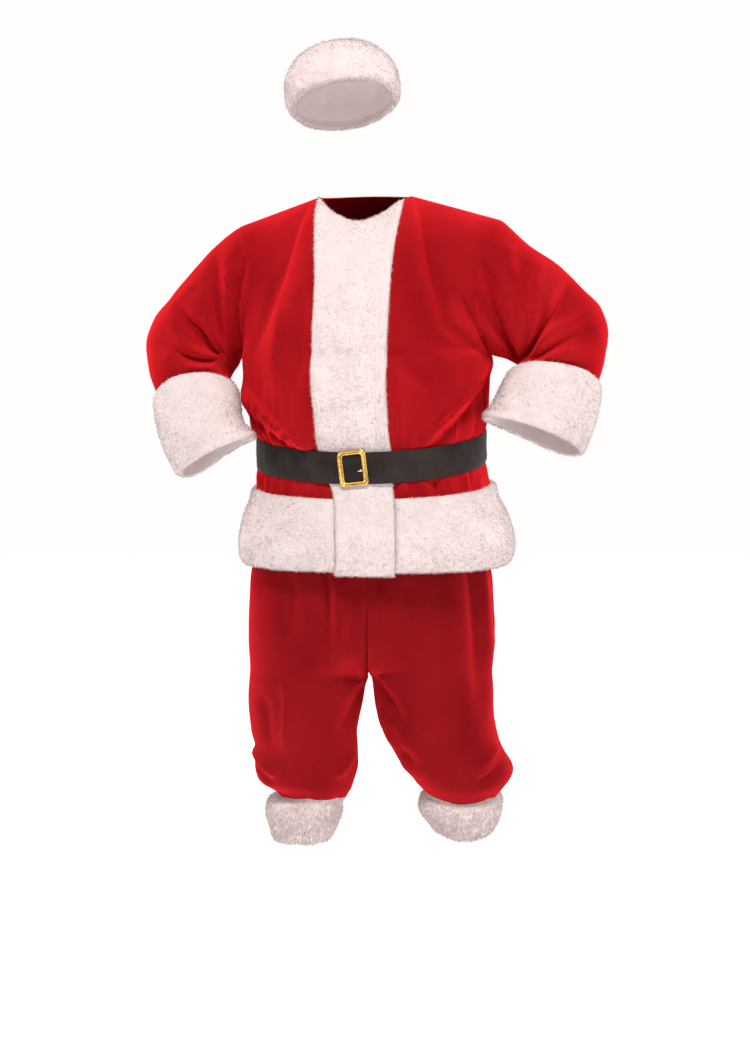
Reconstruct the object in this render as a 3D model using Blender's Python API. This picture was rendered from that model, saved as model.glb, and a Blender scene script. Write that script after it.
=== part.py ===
"""A red suit with white plush trim, hollow as it is worn: jacket, belt, trousers, leg cuffs and hat."""
import math
from collections import namedtuple

import bmesh
import bpy
import numpy as np

# Driving dimensions, in metres. Heights are above the ground under the wearer.
HELD_HEIGHT = 1.49          # where the shoulders hold the suit, which is the origin
TURN = math.radians(10.0)   # the body is turned a little to its own right
FULLNESS = 2.3              # 2 is an ellipse, more is squarer
CLOTH = 0.002
PLUSH = 0.011
SEAM_GAP = 0.0003
LAY_GAP = 0.0004            # between a panel and what lies on it
LAYER_GAP = 0.0005          # between two layers side by side on a panel
BELT_GAP = 0.0008           # between the front band and the belt over it
ARMPIT_GAP = 0.0050         # twice a sleeve's distance from the armhole, for the sharp fold there

FRONT_BAND_BOTTOM = 0.799
HEM_BAND_BOTTOM = 0.806
JACKET_BOTTOM = 0.812
HEM_BAND_TOP = 0.960
ARMPIT_HEIGHT = 1.197
YOKE_RISE = 0.250           # armpit to shoulder tip
BAND_RIGHT = -22.0          # the panels' own degrees at the front band's right edge, at any height
PARTING = 11.0              # where the two fronts meet, under the band
BAND_LEFT = 24.0            # at the front band's left edge
BACK_START = 90.00001       # the back's own edge of the left side seam, at 90 degrees
NECK_EDGE = 55.0            # degrees of a front's top edge that belong to the neckline
SHOULDER = 37.5             # degrees of the back's top edge that belong to each shoulder seam
UPPER_ROWS = 8
SLEEVE_STEPS = 2            # rows for each section in the sleeve tables

BELT_HEIGHT = 1.038         # middle of the belt at the back, where it is highest
BELT_WIDTH = 0.058
BELT_THICKNESS = 0.0025
BELT_START = 8.3            # degrees: the strap's buckle end
BELT_TAIL_END = 40.0        # degrees: the strap's free end, under its own first stretch
TAIL_CLEAR = 10.0           # degrees past the free end where the strap lies flat again
TAIL_EASE = 9.0             # degrees over which it comes down
BAND_CLEAR = 29.0           # degrees from the centre front where the belt is off the front band
BAND_EASE = 6.0

BAND_UNDER_BELT = 0.004     # the plush band's thickness where the belt presses it
BAND_PRESSED_OVER = 0.02    # and how far from the belt it has its full thickness again
HEM_BAND_ROUNDING = (0.6, 0.8, 1.0, 1.0, 1.0, 0.7)   # thickness up the band, as a share of the plush

BUCKLE_WIDTH = 0.054
BUCKLE_HEIGHT = 0.064
BUCKLE_SIDE_BAR = 0.0100
BUCKLE_END_BAR = 0.0075
BUCKLE_DEPTH = 0.0045
BUCKLE_CLEARANCE = 0.0016   # all gaps between jacket, band, belt and buckle together
BUCKLE_LEAN = math.radians(7.0)

Ring = namedtuple("Ring", "height centre half_width front back drop")
JACKET = (
    Ring(0.790, 0.005, 0.236, 0.208, 0.186, 0.000),
    Ring(0.838, 0.010, 0.251, 0.222, 0.200, 0.000),
    Ring(0.890, 0.008, 0.241, 0.214, 0.190, 0.004),
    Ring(0.935, 0.005, 0.224, 0.200, 0.172, 0.014),
    Ring(1.009, 0.000, 0.213, 0.188, 0.152, 0.046),
    Ring(1.067, 0.000, 0.213, 0.188, 0.152, 0.046),
    Ring(1.096, -0.003, 0.222, 0.199, 0.160, 0.034),
    Ring(1.135, -0.006, 0.227, 0.199, 0.166, 0.014),
    Ring(1.167, -0.009, 0.232, 0.192, 0.166, 0.003),
    Ring(1.197, -0.010, 0.235, 0.184, 0.162, 0.000),
)
DROP_BEND = 1.6             # a ring drops most in front, and above 1 its sides stay higher
DROP_TILT = 0.03            # it drops this share less on the left side and more on the right
JACKET_ROWS = (FRONT_BAND_BOTTOM, HEM_BAND_BOTTOM, JACKET_BOTTOM, 0.850, 0.895, 0.930, HEM_BAND_TOP,
               0.978, 0.993, 1.009, 1.067, 1.082, 1.100, 1.125, 1.150, 1.175)

# Gathers around the waist, by stretches of degrees around from the centre front
Zone = namedtuple("Zone", "start end gathers depth steps")
ZONES = {
    "jacket_front_right": (Zone(-90, -55, 5, 0.0070, 0), Zone(-55, BAND_RIGHT, 6, 0.0080, 0),
                           Zone(BAND_RIGHT, PARTING, 0, 0.0, 4)),
    "jacket_front_left": (Zone(PARTING, BAND_LEFT, 0, 0.0, 2), Zone(BAND_LEFT, 55, 3, 0.0070, 0),
                          Zone(55, 90, 3, 0.0085, 0)),
    "jacket_back": (Zone(BACK_START, 127.5, 3, 0.0085, 0), Zone(127.5, 232.5, 6, 0.0100, 0),
                    Zone(232.5, 270, 5, 0.0080, 0)),
}
GATHER_REACH = 0.018        # how far from the belt's edge a gather is deepest
GATHER_FADE = (0.905, 0.985)   # heights between which the hem band smooths the gathers out

# Large folds of the jacket's body: ends in degrees around and height, ridges up and troughs down
Fold = namedtuple("Fold", "around_0 height_0 around_1 height_1 width lift")
JACKET_FOLDS = (
    Fold(-84, 1.137, -26, 1.076, 0.020, 0.011),
    Fold(-78, 1.108, -34, 1.074, 0.014, -0.006),
    Fold(88, 1.187, 38, 1.098, 0.016, 0.010),
    Fold(84, 1.155, 48, 1.092, 0.014, -0.006),
    Fold(30, 1.190, 44, 1.130, 0.022, -0.006),
    Fold(52, 1.260, 76, 1.200, 0.024, -0.007),
    Fold(-60, 1.300, -48, 1.155, 0.022, -0.006),
    Fold(110, 1.180, 150, 1.095, 0.022, 0.008),
    Fold(250, 1.180, 212, 1.095, 0.022, 0.008),
    Fold(165, 1.125, 195, 1.090, 0.020, -0.006),
)

# The front band's two edges, as distances from the centre front
Band = namedtuple("Band", "height right left")
FRONT_BAND = (
    Band(0.780, -0.038, 0.072),
    Band(0.985, -0.040, 0.071),
    Band(1.067, -0.066, 0.067),
    Band(1.200, -0.068, 0.067),
    Band(1.447, -0.066, 0.064),
)

NECK = {"x": -0.012, "y": 0.015, "half_width": 0.088, "front": 0.088, "back": 0.080,
        "height_front": 1.440, "height_side": 1.494, "height_back": 1.500}

# Sleeve sections: the inner and outer points as the front view shows them, and depth across.
# A slant moves the front down the sleeve and the back up it.
Cut = namedtuple("Cut", "in_x in_y in_z out_x out_y out_z depth front_lift back_lift slant", defaults=(0.0,))
SLEEVES = {
    "left": (
        Cut(0.220, -0.042, 1.197, 0.242, -0.036, 1.446, 0.082, 0.000, 0.000),
        Cut(0.240, -0.046, 1.192, 0.290, -0.028, 1.402, 0.083, -0.010, 0.004),
        Cut(0.251, -0.050, 1.190, 0.344, -0.012, 1.364, 0.082, 0.007, -0.008),
        Cut(0.262, -0.056, 1.188, 0.390, 0.004, 1.320, 0.080, -0.011, 0.006),
        Cut(0.272, -0.064, 1.186, 0.428, 0.012, 1.277, 0.076, 0.006, -0.007),
        Cut(0.278, -0.072, 1.184, 0.438, 0.012, 1.236, 0.072, -0.005, 0.005, -0.003),
        Cut(0.277, -0.079, 1.180, 0.430, 0.004, 1.182, 0.067, 0.003, 0.000, -0.010),
        Cut(0.270, -0.088, 1.172, 0.412, -0.010, 1.127, 0.061, 0.000, 0.000, -0.020),
        Cut(0.262, -0.098, 1.154, 0.398, -0.020, 1.086, 0.059, 0.000, 0.000, -0.018),
    ),
    "right": (
        Cut(-0.242, 0.040, 1.197, -0.250, 0.044, 1.438, 0.082, 0.000, 0.000),
        Cut(-0.253, 0.040, 1.187, -0.302, 0.054, 1.396, 0.083, -0.012, 0.004),
        Cut(-0.257, 0.036, 1.179, -0.348, 0.066, 1.344, 0.082, 0.006, -0.008),
        Cut(-0.262, 0.028, 1.172, -0.385, 0.076, 1.299, 0.080, -0.008, 0.006),
        Cut(-0.267, 0.014, 1.165, -0.415, 0.076, 1.259, 0.076, 0.006, -0.007),
        Cut(-0.271, -0.002, 1.159, -0.429, 0.069, 1.210, 0.072, -0.006, 0.005, -0.003),
        Cut(-0.272, -0.016, 1.154, -0.418, 0.052, 1.156, 0.067, 0.003, 0.000, -0.010),
        Cut(-0.271, -0.030, 1.146, -0.394, 0.030, 1.100, 0.059, 0.000, 0.000, -0.020),
        Cut(-0.272, -0.042, 1.128, -0.378, 0.018, 1.062, 0.053, 0.000, 0.000, -0.018),
    ),
}
Keyed = namedtuple("Keyed", ("stop",) + Cut._fields)
ARMHOLE_HOLLOW = 0.022      # how far the armhole cuts in across the chest and the back
CUFF_SEAM_ROW = -3          # the sleeve's row that the cuff is sewn to

CUFFS = {
    "left": (
        Cut(0.262, -0.090, 1.176, 0.420, -0.009, 1.122, 0.071, 0.000, 0.000, -0.020),
        Cut(0.248, -0.112, 1.142, 0.411, -0.022, 1.080, 0.075, 0.000, 0.000, -0.004),
        Cut(0.227, -0.140, 1.106, 0.397, -0.042, 1.040, 0.078, 0.000, -0.013, 0.014),
        Cut(0.207, -0.162, 1.088, 0.383, -0.062, 1.008, 0.078, 0.000, -0.021, 0.020),
    ),
    "right": (
        Cut(-0.262, -0.034, 1.147, -0.403, 0.032, 1.093, 0.071, 0.000, 0.000, -0.020),
        Cut(-0.262, -0.068, 1.113, -0.391, 0.016, 1.050, 0.072, 0.000, 0.000, -0.004),
        Cut(-0.246, -0.115, 1.072,-0.370, -0.024, 1.006, 0.073, 0.000, -0.022, 0.014),
        Cut(-0.220, -0.138, 1.050, -0.348, -0.056, 0.968, 0.073, 0.000, -0.028, 0.020),
    ),
}

# Trouser leg sections: the leg's middle and half width, seen from the front, and its depths
Leg = namedtuple("Leg", "height centre half_width front back middle_y")
CROTCH_X = -0.008
LEGS = {
    "left": (
        Leg(0.352, 0.170, 0.066, 0.064, 0.066, -0.030),
        Leg(0.366, 0.170, 0.078, 0.078, 0.080, -0.030),
        Leg(0.385, 0.170, 0.092, 0.092, 0.094, -0.030),
        Leg(0.415, 0.161, 0.105, 0.100, 0.104, -0.030),
        Leg(0.445, 0.146, 0.104, 0.102, 0.104, -0.030),
        Leg(0.480, 0.131, 0.107, 0.106, 0.104, -0.028),
        Leg(0.535, 0.117, 0.110, 0.112, 0.110, -0.024),
        Leg(0.588, 0.110, 0.110, 0.122, 0.122, -0.016),
        Leg(0.660, 0.060, 0.171, 0.150, 0.140, -0.008),
        Leg(0.760, 0.000, 0.228, 0.176, 0.158, 0.000),
        Leg(0.860, -0.001, 0.212, 0.174, 0.150, 0.000),
        Leg(0.930, -0.002, 0.204, 0.168, 0.138, 0.000),
        Leg(0.995, -0.002, 0.203, 0.168, 0.136, 0.000),
    ),
    "right": (
        Leg(0.352, -0.112, 0.062, 0.064, 0.066, 0.020),
        Leg(0.366, -0.114, 0.073, 0.078, 0.080, 0.020),
        Leg(0.385, -0.126, 0.092, 0.092, 0.094, 0.020),
        Leg(0.415, -0.126, 0.099, 0.098, 0.102, 0.020),
        Leg(0.445, -0.125, 0.097, 0.100, 0.102, 0.020),
        Leg(0.480, -0.130, 0.101, 0.106, 0.104, 0.020),
        Leg(0.535, -0.127, 0.109, 0.112, 0.110, 0.018),
        Leg(0.588, -0.120, 0.113, 0.122, 0.122, 0.012),
        Leg(0.660, -0.066, 0.169, 0.150, 0.140, 0.006),
        Leg(0.760, -0.004, 0.227, 0.176, 0.158, 0.000),
        Leg(0.860, -0.003, 0.212, 0.174, 0.150, 0.000),
        Leg(0.930, -0.002, 0.204, 0.168, 0.138, 0.000),
        Leg(0.995, -0.002, 0.203, 0.168, 0.136, 0.000),
    ),
}
LEG_ROWS = (0.356, 0.366, 0.378, 0.398, 0.422, 0.448, 0.485, 0.535, 0.583, 0.615, 0.665, 0.720,
            0.780, 0.850, 0.920, 0.965, 0.995)
LEG_COLUMNS = 9
HEM_RISE = {"left": (0.003, 0.016), "right": (0.0, 0.0)}   # a hem pushed up: in the middle, at the sides
HEM_RISE_TOP = 0.470        # no part of the rise from this height up
WAIST_FROM = 0.962          # the height from which the panels turn towards the waist's outline
WAISTBAND_WIDTH = 0.045
WAIST_GAP = 0.0010          # from the jacket's inside, enough for the facets of both
WAISTBAND_COLUMNS = 36

LegCuff = namedtuple("LegCuff", "height centre half_width depth")
LEG_CUFFS = {
    "left": (LegCuff(0.283, 0.176, 0.055, 0.060), LegCuff(0.305, 0.172, 0.067, 0.068),
             LegCuff(0.328, 0.168, 0.075, 0.074), LegCuff(0.345, 0.169, 0.074, 0.073)),
    "right": (LegCuff(0.268, -0.136, 0.051, 0.056), LegCuff(0.295, -0.133, 0.062, 0.066),
              LegCuff(0.326, -0.131, 0.070, 0.072), LegCuff(0.345, -0.127, 0.069, 0.070)),
}
LEG_CUFF_INSIDE = (0.354, 0.385)   # heights of the stretch inside the trouser leg
LEG_CUFF_ROUNDING = (0.6, 1.0, 1.0, 0.8, 0.3, 0.3)   # thickness up the cuff, as a share of the plush

# Hat sections run up the hat's own axis, which leans back and to one side
Rim = namedtuple("Rim", "height radius")
HAT_CENTRE = (-0.052, 0.020, 1.664)
HAT_LEAN_BACK = math.radians(22.0)
HAT_LEAN_SIDE = math.radians(-7.0)
HAT_BAND = (Rim(0.000, 0.097), Rim(0.022, 0.105), Rim(0.050, 0.104), Rim(0.078, 0.092),
            Rim(0.098, 0.072))
HAT_ROUNDING = (0.6, 1.0, 1.0, 1.0, 1.0, 0.9, 0.6)
HAT_PLUSH = 0.013
HAT_COLUMNS = 20
Bend = namedtuple("Bend", "back height half_width half_depth tilt")
HAT_CROWN = (
    Bend(0.006, 0.1035, 0.060, 0.058, 2), Bend(0.046, 0.122, 0.055, 0.022, 48),
    Bend(0.088, 0.121, 0.050, 0.017, 85), Bend(0.116, 0.098, 0.042, 0.017, 112),
    Bend(0.134, 0.068, 0.031, 0.013, 128), Bend(0.146, 0.042, 0.014, 0.007, 135),
)
RED = (0.430, 0.012, 0.020)
DARK_RED = (0.330, 0.011, 0.017)
WHITE = (0.870, 0.810, 0.810)
BLACK = (0.018, 0.014, 0.014)
GOLD = (0.800, 0.520, 0.140)


def material(name, colour, roughness, metallic=0.0):
    """A plain Principled material."""
    made = bpy.data.materials.new(name)
    made.use_nodes = True
    shader = made.node_tree.nodes["Principled BSDF"]
    shader.inputs["Base Color"].default_value = (*colour, 1.0)
    shader.inputs["Roughness"].default_value = roughness
    shader.inputs["Metallic"].default_value = metallic
    return made


def read(table, name, at):
    """Read a named column of a table as a smooth curve over its first column, with no overshoot."""
    stops = np.array([row[0] for row in table], float)
    values = np.array([getattr(row, name) for row in table], float)
    steep = np.diff(values) / np.diff(stops)
    before, after = steep[:-1], steep[1:]
    same_way = before * after > 0
    total = np.where(same_way, before + after, 1)
    slopes = np.concatenate((steep[:1], np.where(same_way, 2 * before * after / total, 0), steep[-1:]))
    at = np.clip(at, stops[0], stops[-1])
    k = np.clip(np.searchsorted(stops, at, side="right") - 1, 0, len(stops) - 2)
    width = stops[k + 1] - stops[k]
    t = (at - stops[k]) / width
    ease = t * t * (3 - 2 * t)
    return ((1 - ease) * values[k] + ease * values[k + 1]
            + width * t * (1 - t) * ((1 - t) * slopes[k] - t * slopes[k + 1]))


def place(parts):
    """Stack x, y and z arrays into points."""
    return np.stack(np.broadcast_arrays(*parts), axis=-1)


def unit(vectors):
    """Scale vectors to length one."""
    return vectors / np.maximum(np.linalg.norm(vectors, axis=-1, keepdims=True), 1e-12)


def ring_point(table, around, height):
    """Points of the jacket's body below the armpits, around in radians from the centre front."""
    sine, cosine = np.sin(around), np.cos(around)
    reach = (abs(sine) ** FULLNESS + abs(cosine) ** FULLNESS) ** (-1 / FULLNESS)
    depth = np.where(cosine > 0, read(table, "front", height), read(table, "back", height))
    across = read(table, "half_width", height) * reach * sine
    along = -depth * reach * cosine
    lower = read(table, "drop", height) * (((1 + cosine) / 2) ** DROP_BEND - DROP_TILT * sine)
    return place((read(table, "centre", height) + across * math.cos(TURN) + along * math.sin(TURN),
                  along * math.cos(TURN) - across * math.sin(TURN), height - lower))


def neck_point(around):
    """Points of the neckline, around in radians from the centre front."""
    sine, cosine = np.sin(around), np.cos(around)
    depth = np.where(cosine > 0, NECK["front"], NECK["back"])
    end = np.where(cosine > 0, NECK["height_front"], NECK["height_back"])
    across, along = NECK["half_width"] * sine, -depth * cosine
    return place((NECK["x"] + across * math.cos(TURN) + along * math.sin(TURN),
                  NECK["y"] + along * math.cos(TURN) - across * math.sin(TURN),
                  NECK["height_side"] + (end - NECK["height_side"]) * cosine ** 2))


def tube_section(table, row, turn, armhole=False):
    """Points of a sleeve or cuff section: turn is 0 at the inner point, a quarter turn in front."""
    keyed = [Keyed(stop, *cut) for stop, cut in enumerate(table)]

    def ends(at):
        return [place([read(keyed, side + axis, at) for axis in "xyz"]) for side in ("in_", "out_")]

    inner, outer = ends(row)
    step = 0.25
    ahead = sum(ends(np.minimum(row + step, len(table) - 1)))
    behind = sum(ends(np.maximum(row - step, 0)))
    front = unit(np.cross(ahead - behind, outer - inner))
    front = front * -np.sign(front[..., 1:2])
    slant = unit(ahead - behind) * (np.sin(turn) * read(keyed, "slant", row))[..., None]
    hollow = 0.0
    if armhole:
        facing = np.array((-math.sin(TURN), -math.cos(TURN), 0.0))
        opening = np.clip(1 - row[..., None] / 2, 0, 1)
        front = unit(front * (1 - opening) + facing * opening)
        inward = np.array((-np.sign(table[0].in_x), 0.0, 0.0))
        hollow = inward * ARMHOLE_HOLLOW * np.clip(1 - row, 0, 1)[..., None] * np.sin(turn)[..., None] ** 2
    lift = np.where(np.sin(turn) > 0, read(keyed, "front_lift", row), read(keyed, "back_lift", row))
    depth = read(keyed, "depth", row) + lift * np.sin(turn) ** 2
    return ((inner + outer) / 2 - (outer - inner) / 2 * np.cos(turn)[..., None]
            + front * (np.sin(turn) * depth)[..., None] + hollow + slant)


def sleeve_table(side):
    """The sleeve's sections, the first of them starting at the jacket's armpit."""
    edge = math.radians(90.0 if side == "left" else -90.0)
    x, y, z = ring_point(JACKET, np.float64(edge), np.float64(ARMPIT_HEIGHT))
    first, *others = SLEEVES[side]
    return [first._replace(in_x=x, in_y=y, in_z=z), *others]


def armhole_point(side, turn):
    """Points of an armhole, which the sleeve's first row and the panels' edges share."""
    return tube_section(sleeve_table(side), np.zeros_like(turn), turn, armhole=True)


def straight(start, end):
    """A straight edge as a function of a share of its length."""
    return lambda share: start + (end - start) * share[..., None]


def edge_of_two(first, second, split):
    """An edge that follows one curve up to a share of its length, then another."""
    return lambda share: np.where((share < split)[..., None],
                                  first(np.minimum(share / split, 1)),
                                  second(np.maximum((share - split) / (1 - split), 0)))


def filled(u, v, bottom, top, near, far):
    """Fill four edges with a smooth sheet: bottom and top run with u, near and far with v."""
    across, up = u[..., None], v[..., None]
    zero, one = np.zeros_like(u), np.ones_like(u)
    corners = ((1 - across) * (1 - up) * bottom(zero) + across * (1 - up) * bottom(one)
               + (1 - across) * up * top(zero) + across * up * top(one))
    return (1 - up) * bottom(u) + up * top(u) + (1 - across) * near(v) + across * far(v) - corners


def parting_point(rise):
    """The line where the two fronts meet, from the chest to the neckline."""
    start = ring_point(JACKET, np.radians(PARTING), np.float64(ARMPIT_HEIGHT))
    end = neck_point(np.radians(PARTING))
    swell = start + np.array((0.0, 0.0, (end[2] - start[2]) * 0.62))
    share = rise[..., None]
    return (1 - share) ** 2 * start + 2 * share * (1 - share) * swell + share ** 2 * end


def yoke_point(around, rise):
    """Points of the jacket above the armpits: around in degrees, rise 0 at the chest, 1 at the top."""
    tips = {side: armhole_point(side, np.array(math.pi)) for side in ("left", "right")}
    neck_sides = {"left": neck_point(np.radians(90.0)), "right": neck_point(np.radians(-90.0))}

    def chest(first, last):
        return lambda share: ring_point(JACKET, np.radians(first + (last - first) * share),
                                        np.full_like(share, ARMPIT_HEIGHT))

    def neckline(first, last):
        return lambda share: neck_point(np.radians(first + (last - first) * share))

    made = np.zeros(np.broadcast(around, rise).shape + (3,))
    around, rise = np.broadcast_arrays(around, rise)
    for side, sign in (("left", 1), ("right", -1)):
        here = (around <= 90) & (sign * (around - PARTING) >= 0)
        edge = sign * 90.0
        top = edge_of_two(neckline(PARTING, edge), straight(neck_sides[side], tips[side]),
                          (sign * NECK_EDGE - PARTING) / (edge - PARTING))
        u = np.clip((around - PARTING) / (edge - PARTING), 0, 1)
        sheet = filled(u, rise, chest(PARTING, edge), top, parting_point,
                       lambda share, name=side: armhole_point(name, share * math.pi))
        made = np.where(here[..., None], sheet, made)
    shoulder = SHOULDER / 180
    middle = edge_of_two(neckline(90.0, 270.0), straight(neck_sides["right"], tips["right"]),
                         (1 - 2 * shoulder) / (1 - shoulder))
    top = edge_of_two(straight(tips["left"], neck_sides["left"]), middle, shoulder)
    u = np.clip((around - 90) / 180, 0, 1)
    sheet = filled(u, rise, chest(90.0, 270.0), top,
                   lambda share: armhole_point("left", -share * math.pi),
                   lambda share: armhole_point("right", -share * math.pi))
    return np.where((around > 90)[..., None], sheet, made)


def band_edges(height):
    """True degrees around at the front band's two edges."""
    wide = read(JACKET, "half_width", np.minimum(height, ARMPIT_HEIGHT)) * 1.02
    rise = np.clip((height - ARMPIT_HEIGHT) / YOKE_RISE, 0, 1)
    wide = wide * (1 - rise) + (NECK["half_width"] + 0.010) * rise
    return [np.degrees(np.arcsin(np.clip(read(FRONT_BAND, name, height) / wide, -0.95, 0.95)))
            for name in ("right", "left")]


def true_degrees(around, height):
    """The panels' own degrees as true ones: near the front band they keep step with its edges."""
    right, left = band_edges(height)
    stops = ((-NECK_EDGE, -NECK_EDGE), (BAND_RIGHT, right), (PARTING, PARTING), (BAND_LEFT, left),
             (NECK_EDGE, NECK_EDGE))
    made = around
    for (start, true_start), (end, true_end) in zip(stops, stops[1:]):
        share = (around - start) / (end - start)
        here = (around >= start) & (around <= end)
        made = np.where(here, true_start + (true_end - true_start) * share, made)
    return made


def jacket_point(around, height):
    """Points of the jacket's body: the panels' degrees, and height up to the armpit and the yoke."""
    around, height = np.broadcast_arrays(np.asarray(around, float), np.asarray(height, float))
    around = true_degrees(around, height)
    rise = np.clip((height - ARMPIT_HEIGHT) / YOKE_RISE, 0, 1)
    below = ring_point(JACKET, np.radians(around), np.minimum(height, ARMPIT_HEIGHT))
    return np.where((height <= ARMPIT_HEIGHT)[..., None], below, yoke_point(around, rise))


def gather_lift(around, height):
    """How far the gathers above and below the belt stand out."""
    off_belt = abs(height - BELT_HEIGHT) - BELT_WIDTH / 2
    share = np.maximum(off_belt, 0) / GATHER_REACH
    smoothed = np.clip((height - GATHER_FADE[0]) / (GATHER_FADE[1] - GATHER_FADE[0]), 0, 1)
    strength = share * np.exp(1 - share) * smoothed
    lift = np.zeros(np.broadcast(around, height).shape)
    for zones in ZONES.values():
        for zone in zones:
            inside = (around > zone.start) & (around < zone.end)
            phase = (around - zone.start) / (zone.end - zone.start) * zone.gathers
            lift += np.where(inside, zone.depth * (1 - np.cos(2 * math.pi * phase)) / 2, 0)
    return lift * strength


def fold_lift(around, height, folds, radius=0.20):
    """How far the large folds stand out, each a soft ridge or trough along a straight line."""
    lift = np.zeros(np.broadcast(around, height).shape)
    across = np.radians(around) * radius
    for fold in folds:
        start = np.array((math.radians(fold.around_0) * radius, fold.height_0))
        along = np.array((math.radians(fold.around_1) * radius, fold.height_1)) - start
        share = ((across - start[0]) * along[0] + (height - start[1]) * along[1]) / (along @ along)
        nearest = np.clip(share, 0, 1)
        off = np.hypot(across - start[0] - nearest * along[0], height - start[1] - nearest * along[1])
        lift += fold.lift * np.exp(-(off / fold.width) ** 2)
    flat = np.clip((abs(height - BELT_HEIGHT) - BELT_WIDTH / 2) / 0.02, 0, 1)
    return lift * flat


def grid_normals(grid, core, wrap=False):
    """Unit normals of a grid of points, turned away from the core points."""
    padded = np.concatenate((grid[:, -1:], grid, grid[:, :1]), axis=1) if wrap else grid
    across = np.gradient(padded, axis=1)
    across = across[:, 1:-1] if wrap else across
    normals = unit(np.cross(across, np.gradient(grid, axis=0)))
    return normals if np.sum(normals * (grid - core)) > 0 else -normals


def row_cores(grid):
    """The middle of each row, as the core of a tube."""
    return np.broadcast_to(grid.mean(axis=1, keepdims=True), grid.shape)


def share_normals(sheets):
    """Give points that lie on several sheets one common normal."""
    totals = {}
    for grid, normals in sheets:
        for point, normal in zip(grid.reshape(-1, 3), normals.reshape(-1, 3)):
            key = tuple(np.round(point, 5))
            totals[key] = totals.get(key, 0) + normal
    for grid, normals in sheets:
        flat = normals.reshape(-1, 3)
        for index, point in enumerate(grid.reshape(-1, 3)):
            flat[index] = unit(totals[tuple(np.round(point, 5))])


def trim_edges(grid, sides, gap=SEAM_GAP):
    """Move the named edges of a grid inwards by half a seam gap."""
    made = grid.copy()
    inner = {"first_row": (0, slice(None), 1), "last_row": (-1, slice(None), -2)}
    for name, (edge, every, beside) in inner.items():
        if name in sides:
            made[edge, every] += unit(grid[beside, every] - grid[edge, every]) * gap / 2
    inner = {"first_column": (0, 1), "last_column": (-1, -2)}
    for name, (edge, beside) in inner.items():
        if name in sides:
            made[:, edge] += unit(grid[:, beside] - grid[:, edge]) * gap / 2
    return made


def wall(name, grid, normals, thickness, finish, wrap=False):
    """A closed wall around a grid of points, half its thickness to each side."""
    half = np.broadcast_to(np.asarray(thickness, float) / 2, grid.shape[:2])[..., None]
    rows, columns = grid.shape[:2]
    layers = (grid + normals * half, grid - normals * half)
    verts = np.concatenate([layer.reshape(-1, 3) for layer in layers])
    verts[:, 2] -= HELD_HEIGHT

    def at(layer, row, column):
        return layer * rows * columns + row * columns + column % columns

    spans = columns if wrap else columns - 1
    faces = []
    for row in range(rows - 1):
        for column in range(spans):
            here, beside = (row, column), (row, column + 1)
            above, across = (row + 1, column), (row + 1, column + 1)
            for corners in ((here, beside, across), (here, across, above)):
                faces.append([at(0, *corner) for corner in corners])
                faces.append([at(1, *corner) for corner in reversed(corners)])
    for row in (0, rows - 1):
        for column in range(spans):
            faces.append([at(0, row, column), at(1, row, column),
                          at(1, row, column + 1), at(0, row, column + 1)])
    if not wrap:
        for column in (0, columns - 1):
            for row in range(rows - 1):
                faces.append([at(0, row, column), at(1, row, column),
                              at(1, row + 1, column), at(0, row + 1, column)])
    return solid(name, verts, faces, finish)


def solid(name, verts, faces, finish, smooth=True):
    """A closed mesh object with its faces pointing out."""
    mesh = bpy.data.meshes.new(name)
    mesh.from_pydata([tuple(vert) for vert in verts], [], faces)
    shaped = bmesh.new()
    shaped.from_mesh(mesh)
    bmesh.ops.recalc_face_normals(shaped, faces=shaped.faces)
    if shaped.calc_volume(signed=True) < 0:
        bmesh.ops.reverse_faces(shaped, faces=shaped.faces)
    shaped.to_mesh(mesh)
    shaped.free()
    mesh.materials.append(finish)
    if smooth:
        mesh.shade_smooth()
        mesh.set_sharp_from_angle(angle=math.radians(60))
    made = bpy.data.objects.new(name, mesh)
    bpy.context.collection.objects.link(made)
    return made


def zone_columns(zones):
    """The degrees around where a panel has points: its zones' ends, and each gather's crest and foot."""
    columns = [zones[0].start]
    for zone in zones:
        steps = zone.steps or 2 * zone.gathers
        columns += [zone.start + (zone.end - zone.start) * k / steps for k in range(1, steps + 1)]
    return np.array(columns, float)


def upper_rows():
    """Nominal heights above the armpits, one for each pair of sleeve columns."""
    return [ARMPIT_HEIGHT + YOKE_RISE * k / UPPER_ROWS for k in range(UPPER_ROWS + 1)]


def shaped_jacket(around, height):
    """Jacket points with their gathers and folds, and the normals there."""
    plain = jacket_point(around, height)
    core = place((-0.01, 0.0, plain[..., 2] - 0.05))
    normals = grid_normals(plain, core)
    lift = gather_lift(around, height) + fold_lift(around, height, JACKET_FOLDS)
    fade = np.clip((ARMPIT_HEIGHT + YOKE_RISE - height) / 0.05, 0, 1)
    side = np.clip(np.minimum(abs(around - 90), abs(around - 270)) / 8, 0, 1)
    side = side * np.clip(abs(around + 90) / 8, 0, 1)
    grid = plain + normals * (lift * fade * side)[..., None]
    return grid, grid_normals(grid, core)


def jacket_grids():
    """The three body panels as grids of points, by name, square to the shoulder seams at the top."""
    heights = np.array([*JACKET_ROWS, *upper_rows()])[:, None]
    panels = {}
    for name, zones in ZONES.items():
        columns = zone_columns(zones)
        grid, normals = shaped_jacket(columns[None, :], heights)
        normals[-1] = normals[-3]
        for side, sign in (("left", 1), ("right", -1)):
            seam = armhole_point(side, np.array(math.pi)) - neck_point(math.radians(90 * sign))
            square = unit(np.cross(seam, np.array((math.sin(TURN), math.cos(TURN), 0.0))) * sign)
            if name == "jacket_back":
                on_seam = (columns <= 90 + SHOULDER) if sign == 1 else (columns >= 270 - SHOULDER)
            else:
                on_seam = columns * sign >= NECK_EDGE
            normals[-1, on_seam] = square * np.sign(square[2])
        panels[name] = (grid, normals)
    return panels


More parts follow.
